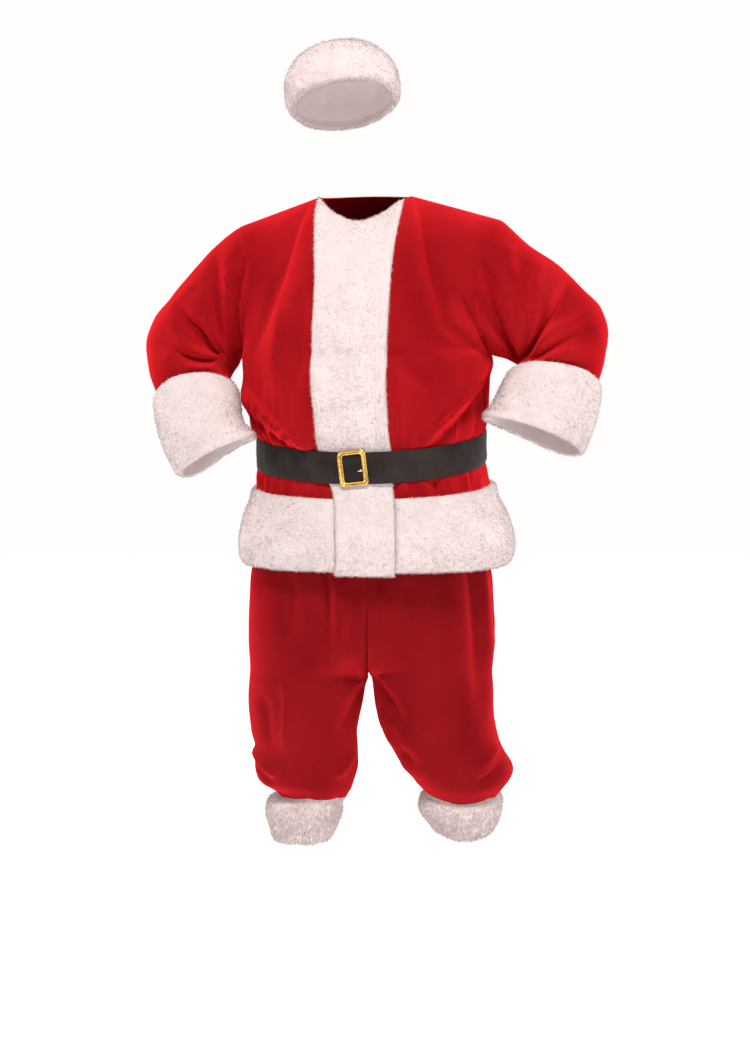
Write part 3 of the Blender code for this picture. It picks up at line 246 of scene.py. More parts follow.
# Creases, as a view from the front shows them: ends, how far the line bows, half width, lift and lean.
# They start narrow and end wide. A ridge lifts and a trough sinks, and a lean one is steeper on one side.
Crease = namedtuple("Crease", "x0 z0 x1 z1 bow width lift lean")
JACKET_DEPTH, SLEEVE_DEPTH, TROUSER_DEPTH = 2.1, 1.9, 1.8   # make all of them stand out more
FRONT_CREASES = (
    # From the left armpit to the belt, and the chest above it
    Crease(0.228, 1.192, 0.066, 1.012, 0.008, 0.010, 0.0085, 0.40),
    Crease(0.220, 1.160, 0.090, 1.020, 0.006, 0.008, -0.0060, 0.2),
    Crease(0.219, 1.178, 0.178, 1.092, 0.004, 0.008, 0.0045, -0.3),
    Crease(0.228, 1.172, 0.130, 1.064, 0.004, 0.008, -0.0050, 0.2),
    Crease(0.202, 1.130, 0.112, 1.046, -0.006, 0.008, 0.0035, 0.2),
    Crease(0.120, 1.135, 0.020, 1.215, 0.010, 0.022, -0.0060, 0.1),
    Crease(0.205, 1.214, 0.095, 1.222, 0.010, 0.017, -0.0070, 0.2),
    Crease(0.212, 1.212, 0.148, 1.330, 0.006, 0.016, -0.0080, 0.2),
    Crease(0.200, 1.236, 0.100, 1.290, 0.010, 0.018, 0.0050, 0.1),
    Crease(0.046, 1.020, 0.046, 1.125, 0.003, 0.005, -0.0030, 0.0),
    Crease(0.074, 1.022, 0.082, 1.095, 0.003, 0.006, 0.0030, 0.0),
    Crease(0.150, 1.036, 0.162, 1.085, 0.002, 0.006, 0.0030, 0.0),
    # Under the belt on the left
    Crease(0.060, 0.985, 0.052, 0.938, 0.001, 0.007, 0.0040, 0.0),
    Crease(0.094, 0.990, 0.112, 0.940, 0.004, 0.010, -0.0050, 0.2),
    Crease(0.110, 0.992, 0.084, 0.945, -0.004, 0.007, 0.0035, 0.2),
    Crease(0.168, 1.000, 0.172, 0.944, 0.002, 0.005, 0.0045, 0.0),
    Crease(0.181, 1.000, 0.186, 0.950, 0.001, 0.005, 0.0050, 0.0),
    Crease(0.192, 1.000, 0.204, 0.955, 0.002, 0.005, 0.0035, 0.0),
    # The right front: the fold that hangs over, the chest and the puckers at the belt
    Crease(-0.236, 1.136, -0.084, 0.998, -0.006, 0.013, 0.0110, -0.50),
    Crease(-0.234, 1.104, -0.108, 1.006, -0.004, 0.009, -0.0080, 0.2),
    Crease(-0.128, 1.315, -0.150, 1.110, 0.006, 0.016, -0.0050, 0.3),
    Crease(-0.175, 1.290, -0.190, 1.150, 0.006, 0.018, 0.0045, 0.1),
    Crease(-0.105, 1.200, -0.100, 1.075, 0.004, 0.014, 0.0030, 0.1),
    Crease(-0.212, 1.036, -0.210, 1.088, 0.002, 0.005, 0.0040, 0.0),
    Crease(-0.192, 1.034, -0.196, 1.078, 0.002, 0.006, -0.0045, 0.0),
    Crease(-0.177, 1.033, -0.184, 1.074, 0.002, 0.005, 0.0042, 0.0),
    Crease(-0.158, 1.032, -0.168, 1.066, 0.002, 0.005, -0.0040, 0.0),
    Crease(-0.147, 1.030, -0.152, 1.064, 0.002, 0.005, 0.0036, 0.0),
    # The left sleeve's folds, out of the elbow's inner bend
    Crease(0.277, 1.180, 0.196, 1.398, 0.012, 0.011, -0.0130, 0.35),
    Crease(0.275, 1.188, 0.232, 1.410, 0.006, 0.010, 0.0080, 0.1),
    Crease(0.278, 1.182, 0.268, 1.392, -0.010, 0.012, -0.0070, -0.2),
    Crease(0.268, 1.192, 0.182, 1.318, 0.006, 0.010, -0.0090, 0.1),
    Crease(0.262, 1.194, 0.190, 1.262, 0.006, 0.009, 0.0060, 0.1),
    Crease(0.279, 1.182, 0.316, 1.302, -0.006, 0.010, -0.0110, 0.2),
    Crease(0.282, 1.186, 0.300, 1.350, -0.006, 0.012, 0.0065, 0.1),
    Crease(0.283, 1.184, 0.378, 1.345, 0.004, 0.011, -0.0100, 0.3),
    Crease(0.286, 1.180, 0.350, 1.262, 0.004, 0.010, 0.0070, -0.1),
    Crease(0.288, 1.178, 0.424, 1.246, 0.010, 0.012, -0.0070, 0.2),
    Crease(0.300, 1.174, 0.408, 1.196, 0.006, 0.012, 0.0050, 0.0),
    Crease(0.256, 1.404, 0.262, 1.330, -0.004, 0.014, 0.0050, 0.2),
    Crease(0.315, 1.372, 0.300, 1.300, -0.006, 0.014, 0.0045, 0.1),
    # The right sleeve's folds, and its drape behind the chest
    Crease(-0.289, 1.188, -0.376, 1.206, 0.008, 0.010, -0.0110, 0.3),
    Crease(-0.290, 1.196, -0.362, 1.274, 0.006, 0.010, -0.0100, 0.2),
    Crease(-0.292, 1.190, -0.384, 1.240, 0.006, 0.010, 0.0070, 0.1),
    Crease(-0.286, 1.192, -0.332, 1.272, 0.004, 0.009, -0.0070, 0.1),
    Crease(-0.284, 1.204, -0.318, 1.330, 0.006, 0.012, 0.0050, 0.1),
    Crease(-0.295, 1.176, -0.352, 1.176, 0.004, 0.008, 0.0070, 0.2),
    Crease(-0.246, 1.205, -0.234, 1.376, 0.012, 0.009, -0.0120, 0.3),
    Crease(-0.266, 1.150, -0.266, 1.412, 0.004, 0.010, 0.0085, 0.2),
    Crease(-0.278, 1.215, -0.292, 1.392, 0.006, 0.010, -0.0070, 0.1),
    Crease(-0.335, 1.335, -0.388, 1.262, -0.006, 0.014, 0.0040, 0.1),
)
BACK_CREASES = (
    Crease(0.222, 1.188, 0.080, 1.052, 0.008, 0.011, 0.0060, 0.3),
    Crease(0.215, 1.150, 0.122, 1.058, 0.004, 0.009, -0.0050, 0.1),
    Crease(-0.232, 1.180, -0.096, 1.056, -0.008, 0.011, 0.0070, -0.3),
    Crease(-0.226, 1.145, -0.140, 1.054, -0.004, 0.009, -0.0050, 0.1),
    Crease(0.020, 1.060, 0.034, 1.200, 0.004, 0.014, 0.0040, 0.2),
    Crease(-0.052, 1.056, -0.060, 1.170, 0.004, 0.012, -0.0040, 0.0),
    Crease(0.205, 1.230, 0.070, 1.262, 0.012, 0.020, -0.0060, 0.1),
    Crease(-0.222, 1.240, -0.095, 1.280, -0.012, 0.020, -0.0060, 0.1),
    Crease(-0.030, 1.420, -0.012, 1.250, 0.006, 0.024, 0.0040, 0.1),
    Crease(0.276, 1.186, 0.232, 1.380, 0.012, 0.012, -0.0090, 0.3),
    Crease(0.279, 1.188, 0.296, 1.352, -0.006, 0.012, 0.0060, 0.1),
    Crease(0.282, 1.184, 0.356, 1.316, 0.006, 0.012, -0.0090, 0.2),
    Crease(0.288, 1.180, 0.402, 1.252, 0.008, 0.012, 0.0060, 0.1),
    Crease(-0.284, 1.190, -0.250, 1.372, -0.010, 0.012, -0.0090, 0.3),
    Crease(-0.287, 1.192, -0.316, 1.340, 0.006, 0.012, 0.0060, 0.1),
    Crease(-0.290, 1.186, -0.372, 1.286, 0.006, 0.012, -0.0085, 0.2),
    Crease(-0.292, 1.180, -0.398, 1.214, 0.006, 0.012, 0.0060, 0.1),
    Crease(0.345, 1.352, 0.390, 1.290, -0.006, 0.014, 0.0040, 0.1),
)
TROUSER_CREASES = {
    "front": (
        Crease(-0.088, 0.830, -0.082, 0.610, 0.003, 0.007, -0.0055, 0.4),
        Crease(-0.072, 0.830, -0.066, 0.640, 0.004, 0.012, 0.0050, 0.3),
        Crease(-0.150, 0.800, -0.162, 0.640, 0.006, 0.020, -0.0035, 0.1),
        Crease(-0.034, 0.790, -0.046, 0.640, 0.006, 0.016, -0.0045, 0.2),
        Crease(0.012, 0.780, 0.028, 0.640, 0.005, 0.014, 0.0040, 0.2),
        Crease(0.062, 0.790, 0.085, 0.640, 0.006, 0.018, -0.0040, 0.2),
        Crease(0.196, 0.830, 0.216, 0.500, 0.006, 0.012, 0.0065, 0.3),
        Crease(0.176, 0.830, 0.196, 0.540, 0.006, 0.012, -0.0050, 0.1),
        Crease(-0.006, 0.640, 0.060, 0.560, -0.008, 0.014, 0.0050, 0.2),
        Crease(0.006, 0.612, 0.070, 0.500, -0.006, 0.012, -0.0050, 0.1),
        Crease(0.016, 0.545, 0.060, 0.450, -0.008, 0.010, 0.0055, 0.3),
        Crease(0.030, 0.505, 0.088, 0.425, -0.006, 0.010, -0.0050, 0.1),
        Crease(0.098, 0.490, 0.156, 0.545, 0.006, 0.014, 0.0045, 0.2),
        Crease(0.232, 0.470, 0.176, 0.430, 0.008, 0.012, 0.0060, 0.2),
        Crease(0.246, 0.440, 0.188, 0.400, 0.006, 0.010, -0.0050, 0.1),
        Crease(-0.016, 0.640, -0.062, 0.540, 0.008, 0.014, 0.0045, 0.2),
        Crease(-0.020, 0.580, -0.070, 0.470, 0.006, 0.014, -0.0045, 0.1),
        Crease(-0.162, 0.600, -0.164, 0.425, 0.004, 0.014, 0.0060, 0.3),
        Crease(-0.205, 0.560, -0.196, 0.440, 0.004, 0.014, -0.0040, 0.1),
        Crease(-0.222, 0.450, -0.172, 0.405, -0.010, 0.010, 0.0060, 0.2),
        Crease(-0.226, 0.425, -0.180, 0.388, -0.008, 0.008, -0.0045, 0.1),
        Crease(-0.036, 0.450, -0.082, 0.400, 0.008, 0.010, 0.0050, 0.1),
        Crease(-0.108, 0.430, -0.112, 0.372, 0.002, 0.010, -0.0040, 0.0),
    ),
    "back": (
        Crease(-0.110, 0.830, -0.100, 0.640, 0.004, 0.016, 0.0050, 0.2),
        Crease(0.092, 0.830, 0.104, 0.640, -0.004, 0.016, 0.0050, 0.2),
        Crease(-0.020, 0.700, -0.120, 0.640, 0.012, 0.016, -0.0070, 0.2),
        Crease(0.006, 0.700, 0.106, 0.640, -0.012, 0.016, -0.0070, 0.2),
        Crease(-0.022, 0.640, -0.110, 0.560, 0.010, 0.014, 0.0060, 0.2),
        Crease(0.010, 0.640, 0.100, 0.560, -0.010, 0.014, 0.0060, 0.2),
        Crease(0.020, 0.540, 0.130, 0.520, 0.010, 0.012, -0.0060, 0.1),
        Crease(0.218, 0.520, 0.120, 0.490, 0.010, 0.012, 0.0055, 0.2),
        Crease(-0.030, 0.545, -0.130, 0.520, -0.010, 0.012, -0.0060, 0.1),
        Crease(-0.222, 0.525, -0.130, 0.490, -0.010, 0.012, 0.0055, 0.2),
        Crease(0.190, 0.790, 0.212, 0.560, 0.008, 0.018, 0.0050, 0.2),
        Crease(-0.196, 0.790, -0.214, 0.570, 0.008, 0.018, 0.0050, 0.2),
        Crease(0.230, 0.450, 0.170, 0.410, 0.008, 0.012, 0.0060, 0.2),
        Crease(-0.210, 0.450, -0.150, 0.405, -0.008, 0.012, 0.0060, 0.2),
    ),
}

# The fields of a sheet's cut: width, length and area, how it is held and what carries it
Cloth = namedtuple("Cloth", "width length area held rests_on")

SEAM_DIP = 0.0013           # a seam draws the cloth in this much
SEAM_WIDTH = 0.004
PAINTED_PLUSH_GLOW = 0.30           # painted glow: emission that stands for light passing between the white hairs
HAIR_TRANSLUCENCY = 0.5     # so that both sides of a hair look alike
BASE_SHARE = 0.72           # the plush's backing and dense pile, as a share of its whole thickness
PLUSH_EDGE = 0.011          # how far in from its edges the plush is rounded

# Pile: blades for each square metre, their length, half width, and how far they stand up and fall
Pile = namedtuple("Pile", "density length half_width stand fall")
SHORT_PILE = Pile(250000, 0.0055, 0.00060, 0.30, 0.50)
HAT_PILE = Pile(250000, 0.0060, 0.00060, 0.36, 0.40)
LONG_PILE = Pile(270000, 0.0110, 0.00060, 0.32, 0.75)

AMBIENT = 0.26              # the light all around
BACKDROP = 1.0              # and how bright it looks
SUIT_MIDDLE = -0.55
Light = namedtuple("Light", "name x y z size watts")
LIGHTS = (
    Light("key", -0.2, -2.6, 2.7, 0.9, 156),
    Light("fill", 2.4, -3.0, 0.4, 1.5, 26),
    Light("left_edge", 2.3, 1.0, 0.5, 1.2, 46),
    Light("right_edge", -2.3, 1.0, 0.5, 1.2, 40),
)

CAMERA = (0.0057, -4.2, 1.2 - HELD_HEIGHT)
AIM_HEIGHT = 0.877 - HELD_HEIGHT
PHOTO_HEIGHT = 1047         # pixels
METRES_PER_PIXEL = 0.0019   # across the suit's middle


def read(table, name, at):
    """Read a named column of a table as a smooth curve over its first column, with no overshoot."""
    stops = np.array([row[0] for row in table], float)
    values = np.array([getattr(row, name) for row in table], float)
    steep = np.diff(values) / np.diff(stops)
    before, after = steep[:-1], steep[1:]
    same_way = before * after > 0
    total = np.where(same_way, before + after, 1)
    slopes = np.concatenate((steep[:1], np.where(same_way, 2 * before * after / total, 0), steep[-1:]))
    at = np.clip(at, stops[0], stops[-1])
    k = np.clip(np.searchsorted(stops, at, side="right") - 1, 0, len(stops) - 2)
    width = stops[k + 1] - stops[k]
    t = (at - stops[k]) / width
    ease = t * t * (3 - 2 * t)
    return ((1 - ease) * values[k] + ease * values[k + 1]
            + width * t * (1 - t) * ((1 - t) * slopes[k] - t * slopes[k + 1]))


def place(parts):
    """Stack x, y and z arrays into points."""
    return np.stack(np.broadcast_arrays(*parts), axis=-1)


def unit(vectors):
    """Scale vectors to length one."""
    return vectors / np.maximum(np.linalg.norm(vectors, axis=-1, keepdims=True), 1e-12)


def smooth(share):
    """Ease a share from 0 to 1."""
    share = np.clip(share, 0, 1)
    return share * share * (3 - 2 * share)


def soft_noise(points, size, seed):
    """Smooth noise from -1 to 1 at points in space, its lumps about size metres apart."""
    cell = points / size
    low = np.floor(cell).astype(np.int64)
    share = cell - low
    share = share * share * (3 - 2 * share)
    total = 0.0
    for corner in range(8):
        step = np.array((corner & 1, corner >> 1 & 1, corner >> 2))
        at = low + step
        mixed = at[..., 0] * 73856093 ^ at[..., 1] * 19349663 ^ at[..., 2] * 83492791 ^ seed * 40503
        mixed = (mixed ^ mixed >> 13) * 1274126177
        value = ((mixed ^ mixed >> 16) & 65535) / 32767.5 - 1
        total = total + value * np.prod(np.where(step == 1, share, 1 - share), axis=-1)
    return total


def soft_vectors(points, size, seed):
    """Three smooth noises at once, as vectors."""
    return place([soft_noise(points, size, seed + k) for k in range(3)])


def ring_point(table, around, height):
    """Points of the jacket's body below the armpits, around in radians from the centre front."""
    sine, cosine = np.sin(around), np.cos(around)
    reach = (abs(sine) ** FULLNESS + abs(cosine) ** FULLNESS) ** (-1 / FULLNESS)
    depth = np.where(cosine > 0, read(table, "front", height), read(table, "back", height))
    across = read(table, "half_width", height) * reach * sine
    along = -depth * reach * cosine
    lower = read(table, "drop", height) * (((1 + cosine) / 2) ** DROP_BEND - DROP_TILT * sine)
    return place((read(table, "centre", height) + across * math.cos(TURN) + along * math.sin(TURN),
                  along * math.cos(TURN) - across * math.sin(TURN), height - lower))


def neck_point(around):
    """Points of the neckline, around in radians from the centre front."""
    sine, cosine = np.sin(around), np.cos(around)
    depth = np.where(cosine > 0, NECK["front"], NECK["back"])
    end = np.where(cosine > 0, NECK["height_front"], NECK["height_back"])
    across, along = NECK["half_width"] * sine, -depth * cosine
    return place((NECK["x"] + across * math.cos(TURN) + along * math.sin(TURN),
                  NECK["y"] + along * math.cos(TURN) - across * math.sin(TURN),
                  NECK["height_side"] + (end - NECK["height_side"]) * cosine ** 2))


def tube_section(table, row, turn, armhole=False):
    """Points of a sleeve or cuff section: turn is 0 at the inner point, a quarter turn in front."""
    keyed = [Keyed(stop, *cut) for stop, cut in enumerate(table)]

    def ends(at):
        return [place([read(keyed, side + axis, at) for axis in "xyz"]) for side in ("in_", "out_")]

    inner, outer = ends(row)
    step = 0.25
    ahead = sum(ends(np.minimum(row + step, len(table) - 1)))
    behind = sum(ends(np.maximum(row - step, 0)))
    front = unit(np.cross(ahead - behind, outer - inner))
    front = front * -np.sign(front[..., 1:2])
    slant = unit(ahead - behind) * (np.sin(turn) * read(keyed, "slant", row))[..., None]
    hollow = 0.0
    if armhole:
        facing = np.array((-math.sin(TURN), -math.cos(TURN), 0.0))
        opening = np.clip(1 - row[..., None] / 2, 0, 1)
        front = unit(front * (1 - opening) + facing * opening)
        inward = np.array((-np.sign(table[0].in_x), 0.0, 0.0))
        hollow = inward * ARMHOLE_HOLLOW * np.clip(1 - row, 0, 1)[..., None] * np.sin(turn)[..., None] ** 2
    lift = np.where(np.sin(turn) > 0, read(keyed, "front_lift", row), read(keyed, "back_lift", row))
    depth = read(keyed, "depth", row) + lift * np.sin(turn) ** 2
    return ((inner + outer) / 2 - (outer - inner) / 2 * np.cos(turn)[..., None]
            + front * (np.sin(turn) * depth)[..., None] + hollow + slant)


def sleeve_table(side):
    """The sleeve's sections, the first of them starting at the jacket's armpit."""
    edge = math.radians(90.0 if side == "left" else -90.0)
    x, y, z = ring_point(JACKET, np.float64(edge), np.float64(ARMPIT_HEIGHT))
    first, *others = SLEEVES[side]
    return [first._replace(in_x=x, in_y=y, in_z=z), *others]


def armhole_point(side, turn):
    """Points of an armhole, which the sleeve's first row and the panels' edges share."""
    return tube_section(sleeve_table(side), np.zeros_like(turn), turn, armhole=True)


def straight(start, end):
    """A straight edge as a function of a share of its length."""
    return lambda share: start + (end - start) * share[..., None]


def edge_of_two(first, second, split):
    """An edge that follows one curve up to a share of its length, then another."""
    return lambda share: np.where((share < split)[..., None],
                                  first(np.minimum(share / split, 1)),
                                  second(np.maximum((share - split) / (1 - split), 0)))


def filled(u, v, bottom, top, near, far):
    """Fill four edges with a smooth sheet: bottom and top run with u, near and far with v."""
    across, up = u[..., None], v[..., None]
    zero, one = np.zeros_like(u), np.ones_like(u)
    corners = ((1 - across) * (1 - up) * bottom(zero) + across * (1 - up) * bottom(one)
               + (1 - across) * up * top(zero) + across * up * top(one))
    return (1 - up) * bottom(u) + up * top(u) + (1 - across) * near(v) + across * far(v) - corners


def parting_point(rise):
    """The line where the two fronts meet, from the chest to the neckline."""
    start = ring_point(JACKET, np.radians(PARTING), np.float64(ARMPIT_HEIGHT))
    end = neck_point(np.radians(PARTING))
    swell = start + np.array((0.0, 0.0, (end[2] - start[2]) * 0.62))
    share = rise[..., None]
    return (1 - share) ** 2 * start + 2 * share * (1 - share) * swell + share ** 2 * end


def yoke_point(around, rise):
    """Points of the jacket above the armpits: around in degrees, rise 0 at the chest, 1 at the top."""
    tips = {side: armhole_point(side, np.array(math.pi)) for side in ("left", "right")}
    neck_sides = {"left": neck_point(np.radians(90.0)), "right": neck_point(np.radians(-90.0))}

    def chest(first, last):
        return lambda share: ring_point(JACKET, np.radians(first + (last - first) * share),
                                        np.full_like(share, ARMPIT_HEIGHT))

    def neckline(first, last):
        return lambda share: neck_point(np.radians(first + (last - first) * share))

    made = np.zeros(np.broadcast(around, rise).shape + (3,))
    around, rise = np.broadcast_arrays(around, rise)
    for side, sign in (("left", 1), ("right", -1)):
        here = (around <= 90) & (sign * (around - PARTING) >= 0)
        edge = sign * 90.0
        top = edge_of_two(neckline(PARTING, edge), straight(neck_sides[side], tips[side]),
                          (sign * NECK_EDGE - PARTING) / (edge - PARTING))
        u = np.clip((around - PARTING) / (edge - PARTING), 0, 1)
        sheet = filled(u, rise, chest(PARTING, edge), top, parting_point,
                       lambda share, name=side: armhole_point(name, share * math.pi))
        made = np.where(here[..., None], sheet, made)
    shoulder = SHOULDER / 180
    middle = edge_of_two(neckline(90.0, 270.0), straight(neck_sides["right"], tips["right"]),
                         (1 - 2 * shoulder) / (1 - shoulder))
    top = edge_of_two(straight(tips["left"], neck_sides["left"]), middle, shoulder)
    u = np.clip((around - 90) / 180, 0, 1)
    sheet = filled(u, rise, chest(90.0, 270.0), top,
                   lambda share: armhole_point("left", -share * math.pi),
                   lambda share: armhole_point("right", -share * math.pi))
    return np.where((around > 90)[..., None], sheet, made)


def band_edges(height):
    """True degrees around at the front band's two edges."""
    wide = read(JACKET, "half_width", np.minimum(height, ARMPIT_HEIGHT)) * 1.02
    rise = np.clip((height - ARMPIT_HEIGHT) / YOKE_RISE, 0, 1)
    wide = wide * (1 - rise) + (NECK["half_width"] + 0.010) * rise
    return [np.degrees(np.arcsin(np.clip(read(FRONT_BAND, name, height) / wide, -0.95, 0.95)))
            for name in ("right", "left")]


def true_degrees(around, height):
    """The panels' own degrees as true ones: near the front band they keep step with its edges."""
    right, left = band_edges(height)
    stops = ((-NECK_EDGE, -NECK_EDGE), (BAND_RIGHT, right), (PARTING, PARTING), (BAND_LEFT, left),
             (NECK_EDGE, NECK_EDGE))
    made = around
    for (start, true_start), (end, true_end) in zip(stops, stops[1:]):
        share = (around - start) / (end - start)
        here = (around >= start) & (around <= end)
        made = np.where(here, true_start + (true_end - true_start) * share, made)
    return made


def jacket_point(around, height):
    """Points of the jacket's body: the panels' degrees, and height up to the armpit and the yoke."""
    around, height = np.broadcast_arrays(np.asarray(around, float), np.asarray(height, float))
    around = true_degrees(around, height)
    rise = np.clip((height - ARMPIT_HEIGHT) / YOKE_RISE, 0, 1)
    below = ring_point(JACKET, np.radians(around), np.minimum(height, ARMPIT_HEIGHT))
    return np.where((height <= ARMPIT_HEIGHT)[..., None], below, yoke_point(around, rise))


def gather_lift(around, height):
    """How far the gathers above and below the belt stand out, with finer, uneven ones between them."""
    off_belt = abs(height - BELT_HEIGHT) - BELT_WIDTH / 2
    share = np.maximum(off_belt, 0) / GATHER_REACH
    smoothed = np.clip((height - GATHER_FADE[0]) / (GATHER_FADE[1] - GATHER_FADE[0]), 0, 1)
    strength = share * np.exp(1 - share) * smoothed
    lift = np.zeros(np.broadcast(around, height).shape)
    line = place((around / 10.0, 0.0, 9.0 * (height > BELT_HEIGHT)))
    unevenness = soft_noise(line, 1.0, 3)
    for zone in ZONES:
        inside = (around > zone.start) & (around < zone.end)
        share = (around - zone.start) / (zone.end - zone.start)
        phase = share * zone.gathers + 1.6 * share * (1 - share) * soft_noise(line, 0.8, 5)
        lift += np.where(inside, zone.depth * (1 - np.cos(2 * math.pi * phase)) / 2, 0)
    fine = 0.0016 * (0.55 + 0.45 * unevenness) * np.sin(around * 2.35 + 4 * soft_noise(line, 1.3, 6))
    return (lift * (0.58 + 0.42 * unevenness) + fine) * strength


def fold_lift(around, height, folds, radius=0.20):
    """How far the large folds stand out, each a soft ridge or trough along a straight line."""
    lift = np.zeros(np.broadcast(around, height).shape)
    across = np.radians(around) * radius
    for fold in folds:
        start = np.array((math.radians(fold.around_0) * radius, fold.height_0))
        along = np.array((math.radians(fold.around_1) * radius, fold.height_1)) - start
        share = ((across - start[0]) * along[0] + (height - start[1]) * along[1]) / (along @ along)
        nearest = np.clip(share, 0, 1)
        off = np.hypot(across - start[0] - nearest * along[0], height - start[1] - nearest * along[1])
        lift += fold.lift * np.exp(-(off / fold.width) ** 2)
    flat = np.clip((abs(height - BELT_HEIGHT) - BELT_WIDTH / 2) / 0.02, 0, 1)
    return lift * flat


def crease_lift(points, creases, depth):
    """How far the creases stand out at points of one face of the suit."""
    lift = np.zeros(points.shape[:-1])
    for crease in creases:
        start = np.array((crease.x0, crease.z0))
        along = np.array((crease.x1, crease.z1)) - start
        length = np.linalg.norm(along)
        along = along / length
        across = np.array((-along[1], along[0]))
        off = points[..., [0, 2]] - start
        share = off @ along / length
        side = off @ across - crease.bow * 4 * share * (1 - share)
        width = crease.width * (0.6 + 0.5 * np.clip(share, 0, 1)) * (1 + crease.lean * np.sign(side))
        fade = smooth((share + 0.05) / 0.22) * smooth((1.05 - share) / 0.4)
        lift += crease.lift * fade * np.exp(-abs(side / width) ** 1.7)
    return lift * depth


def grid_normals(grid, core, wrap=False):
    """Unit normals of a grid of points, turned away from the core points."""
    padded = np.concatenate((grid[:, -1:], grid, grid[:, :1]), axis=1) if wrap else grid
    across = np.gradient(padded, axis=1)
    across = across[:, 1:-1] if wrap else across
    normals = unit(np.cross(across, np.gradient(grid, axis=0)))
    return normals if np.sum(normals * (grid - core)) > 0 else -normals


def row_cores(grid):
    """The middle of each row, as the core of a tube."""
    return np.broadcast_to(grid.mean(axis=1, keepdims=True), grid.shape)


def edge_distances(grid):
    """How far each point lies from the first and last row and column, along the grid."""
    far = {}
    for axis, (first, last) in enumerate((("first_row", "last_row"), ("first_column", "last_column"))):
        steps = np.linalg.norm(np.diff(grid, axis=axis), axis=-1)
        run = np.concatenate((np.zeros_like(np.take(steps, [0], axis)), np.cumsum(steps, axis)), axis)
        far[first] = run
        far[last] = np.take(run, [-1], axis) - run
    return far


def nearest_edge(grid, names):
    """How far each point lies from the nearest of the named edges."""
    far = edge_distances(grid)
    return np.minimum.reduce([far[name] for name in names])


def trim_edges(grid, sides, gap=SEAM_GAP):
    """Move the named edges of a grid inwards by half a seam gap."""
    made = grid.copy()
    inner = {"first_row": (0, slice(None), 1), "last_row": (-1, slice(None), -2)}
    for name, (edge, every, beside) in inner.items():
        if name in sides:
            made[edge, every] += unit(grid[beside, every] - grid[edge, every]) * gap / 2
    inner = {"first_column": (0, 1), "last_column": (-1, -2)}
    for name, (edge, beside) in inner.items():
        if name in sides:
            made[:, edge] += unit(grid[:, beside] - grid[:, edge]) * gap / 2
    return made


def mesh_object(name, points, faces, finish):
    """A mesh object from points and lists of faces, each list an array with one face a row."""
    mesh = bpy.data.meshes.new(name)
    points = np.array(points, float).reshape(-1, 3)
    points[:, 2] -= HELD_HEIGHT
    corners = np.concatenate([rows.ravel() for rows in faces])
    sizes = np.concatenate([np.full(len(rows), rows.shape[1]) for rows in faces])
    mesh.vertices.add(len(points))
    mesh.vertices.foreach_set("co", points.ravel())
    mesh.loops.add(len(corners))
    mesh.loops.foreach_set("vertex_index", corners)
    mesh.polygons.add(len(sizes))
    mesh.polygons.foreach_set("loop_start", np.concatenate(([0], np.cumsum(sizes)[:-1])))
    mesh.update(calc_edges=True)
    mesh.validate()
    mesh.materials.append(finish)
    made = bpy.data.objects.new(name, mesh)
    bpy.context.collection.objects.link(made)
    return made


def shell(name, outer, inner, finish, wrap=False):
    """A closed wall between an outer and an inner grid of points."""
    rows, columns = outer.shape[:2]
    spans = columns if wrap else columns - 1
    row, column = np.meshgrid(np.arange(rows - 1), np.arange(spans), indexing="ij")
    beside = (column + 1) % columns

    def at(layer, r, c):
        return (layer * rows * columns + r * columns + c).ravel()

    quads = [np.stack((at(0, row, column), at(0, row, beside), at(0, row + 1, beside), at(0, row + 1, column)), 1),
             np.stack((at(1, row, column), at(1, row + 1, column), at(1, row + 1, beside), at(1, row, beside)), 1)]
    c = np.arange(spans)
    d = (c + 1) % columns
    for r in (0, rows - 1):
        quads.append(np.stack((at(0, r, c), at(1, r, c), at(1, r, d), at(0, r, d)), 1))
    if not wrap:
        r = np.arange(rows - 1)
        for c in (0, columns - 1):
            quads.append(np.stack((at(0, r, c), at(1, r, c), at(1, r + 1, c), at(0, r + 1, c)), 1))
    made = mesh_object(name, np.concatenate((outer.reshape(-1, 3), inner.reshape(-1, 3))),
                       [np.concatenate(quads)], finish)
    face_out(made)
    return made


def face_out(made, sharp=60):
    """Turn a closed mesh's faces out and shade it smooth."""
    shaped = bmesh.new()
    shaped.from_mesh(made.data)
    bmesh.ops.recalc_face_normals(shaped, faces=shaped.faces)
    if shaped.calc_volume(signed=True) < 0:
        bmesh.ops.reverse_faces(shaped, faces=shaped.faces)
    shaped.to_mesh(made.data)
    shaped.free()
    made.data.shade_smooth()
    made.data.set_sharp_from_angle(angle=math.radians(sharp))


def own(made, node=None):
    """Put a piece on the suit's one body, in place of its plain solid."""
    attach(made, "root")
    if node:
        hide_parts(node)
    return made


def cloth(name, grid, normals, finish, wrap=False):
    """A thin closed shell of velvet in place of the node of its name."""
    made = shell(name + "_velvet", grid + normals * CLOTH / 2, grid - normals * CLOTH / 2, finish, wrap)
    return [own(made, name)]


def ripples(points, seed):
    """The cloth's own slight unevenness."""
    return 0.0011 * soft_noise(points, 0.055, seed) + 0.0004 * soft_noise(points, 0.021, seed + 1)


def facing(front):
    """The way the suit's front or back looks."""
    forward = np.array((-math.sin(TURN), -math.cos(TURN), 0.0))
    return forward if front else -forward


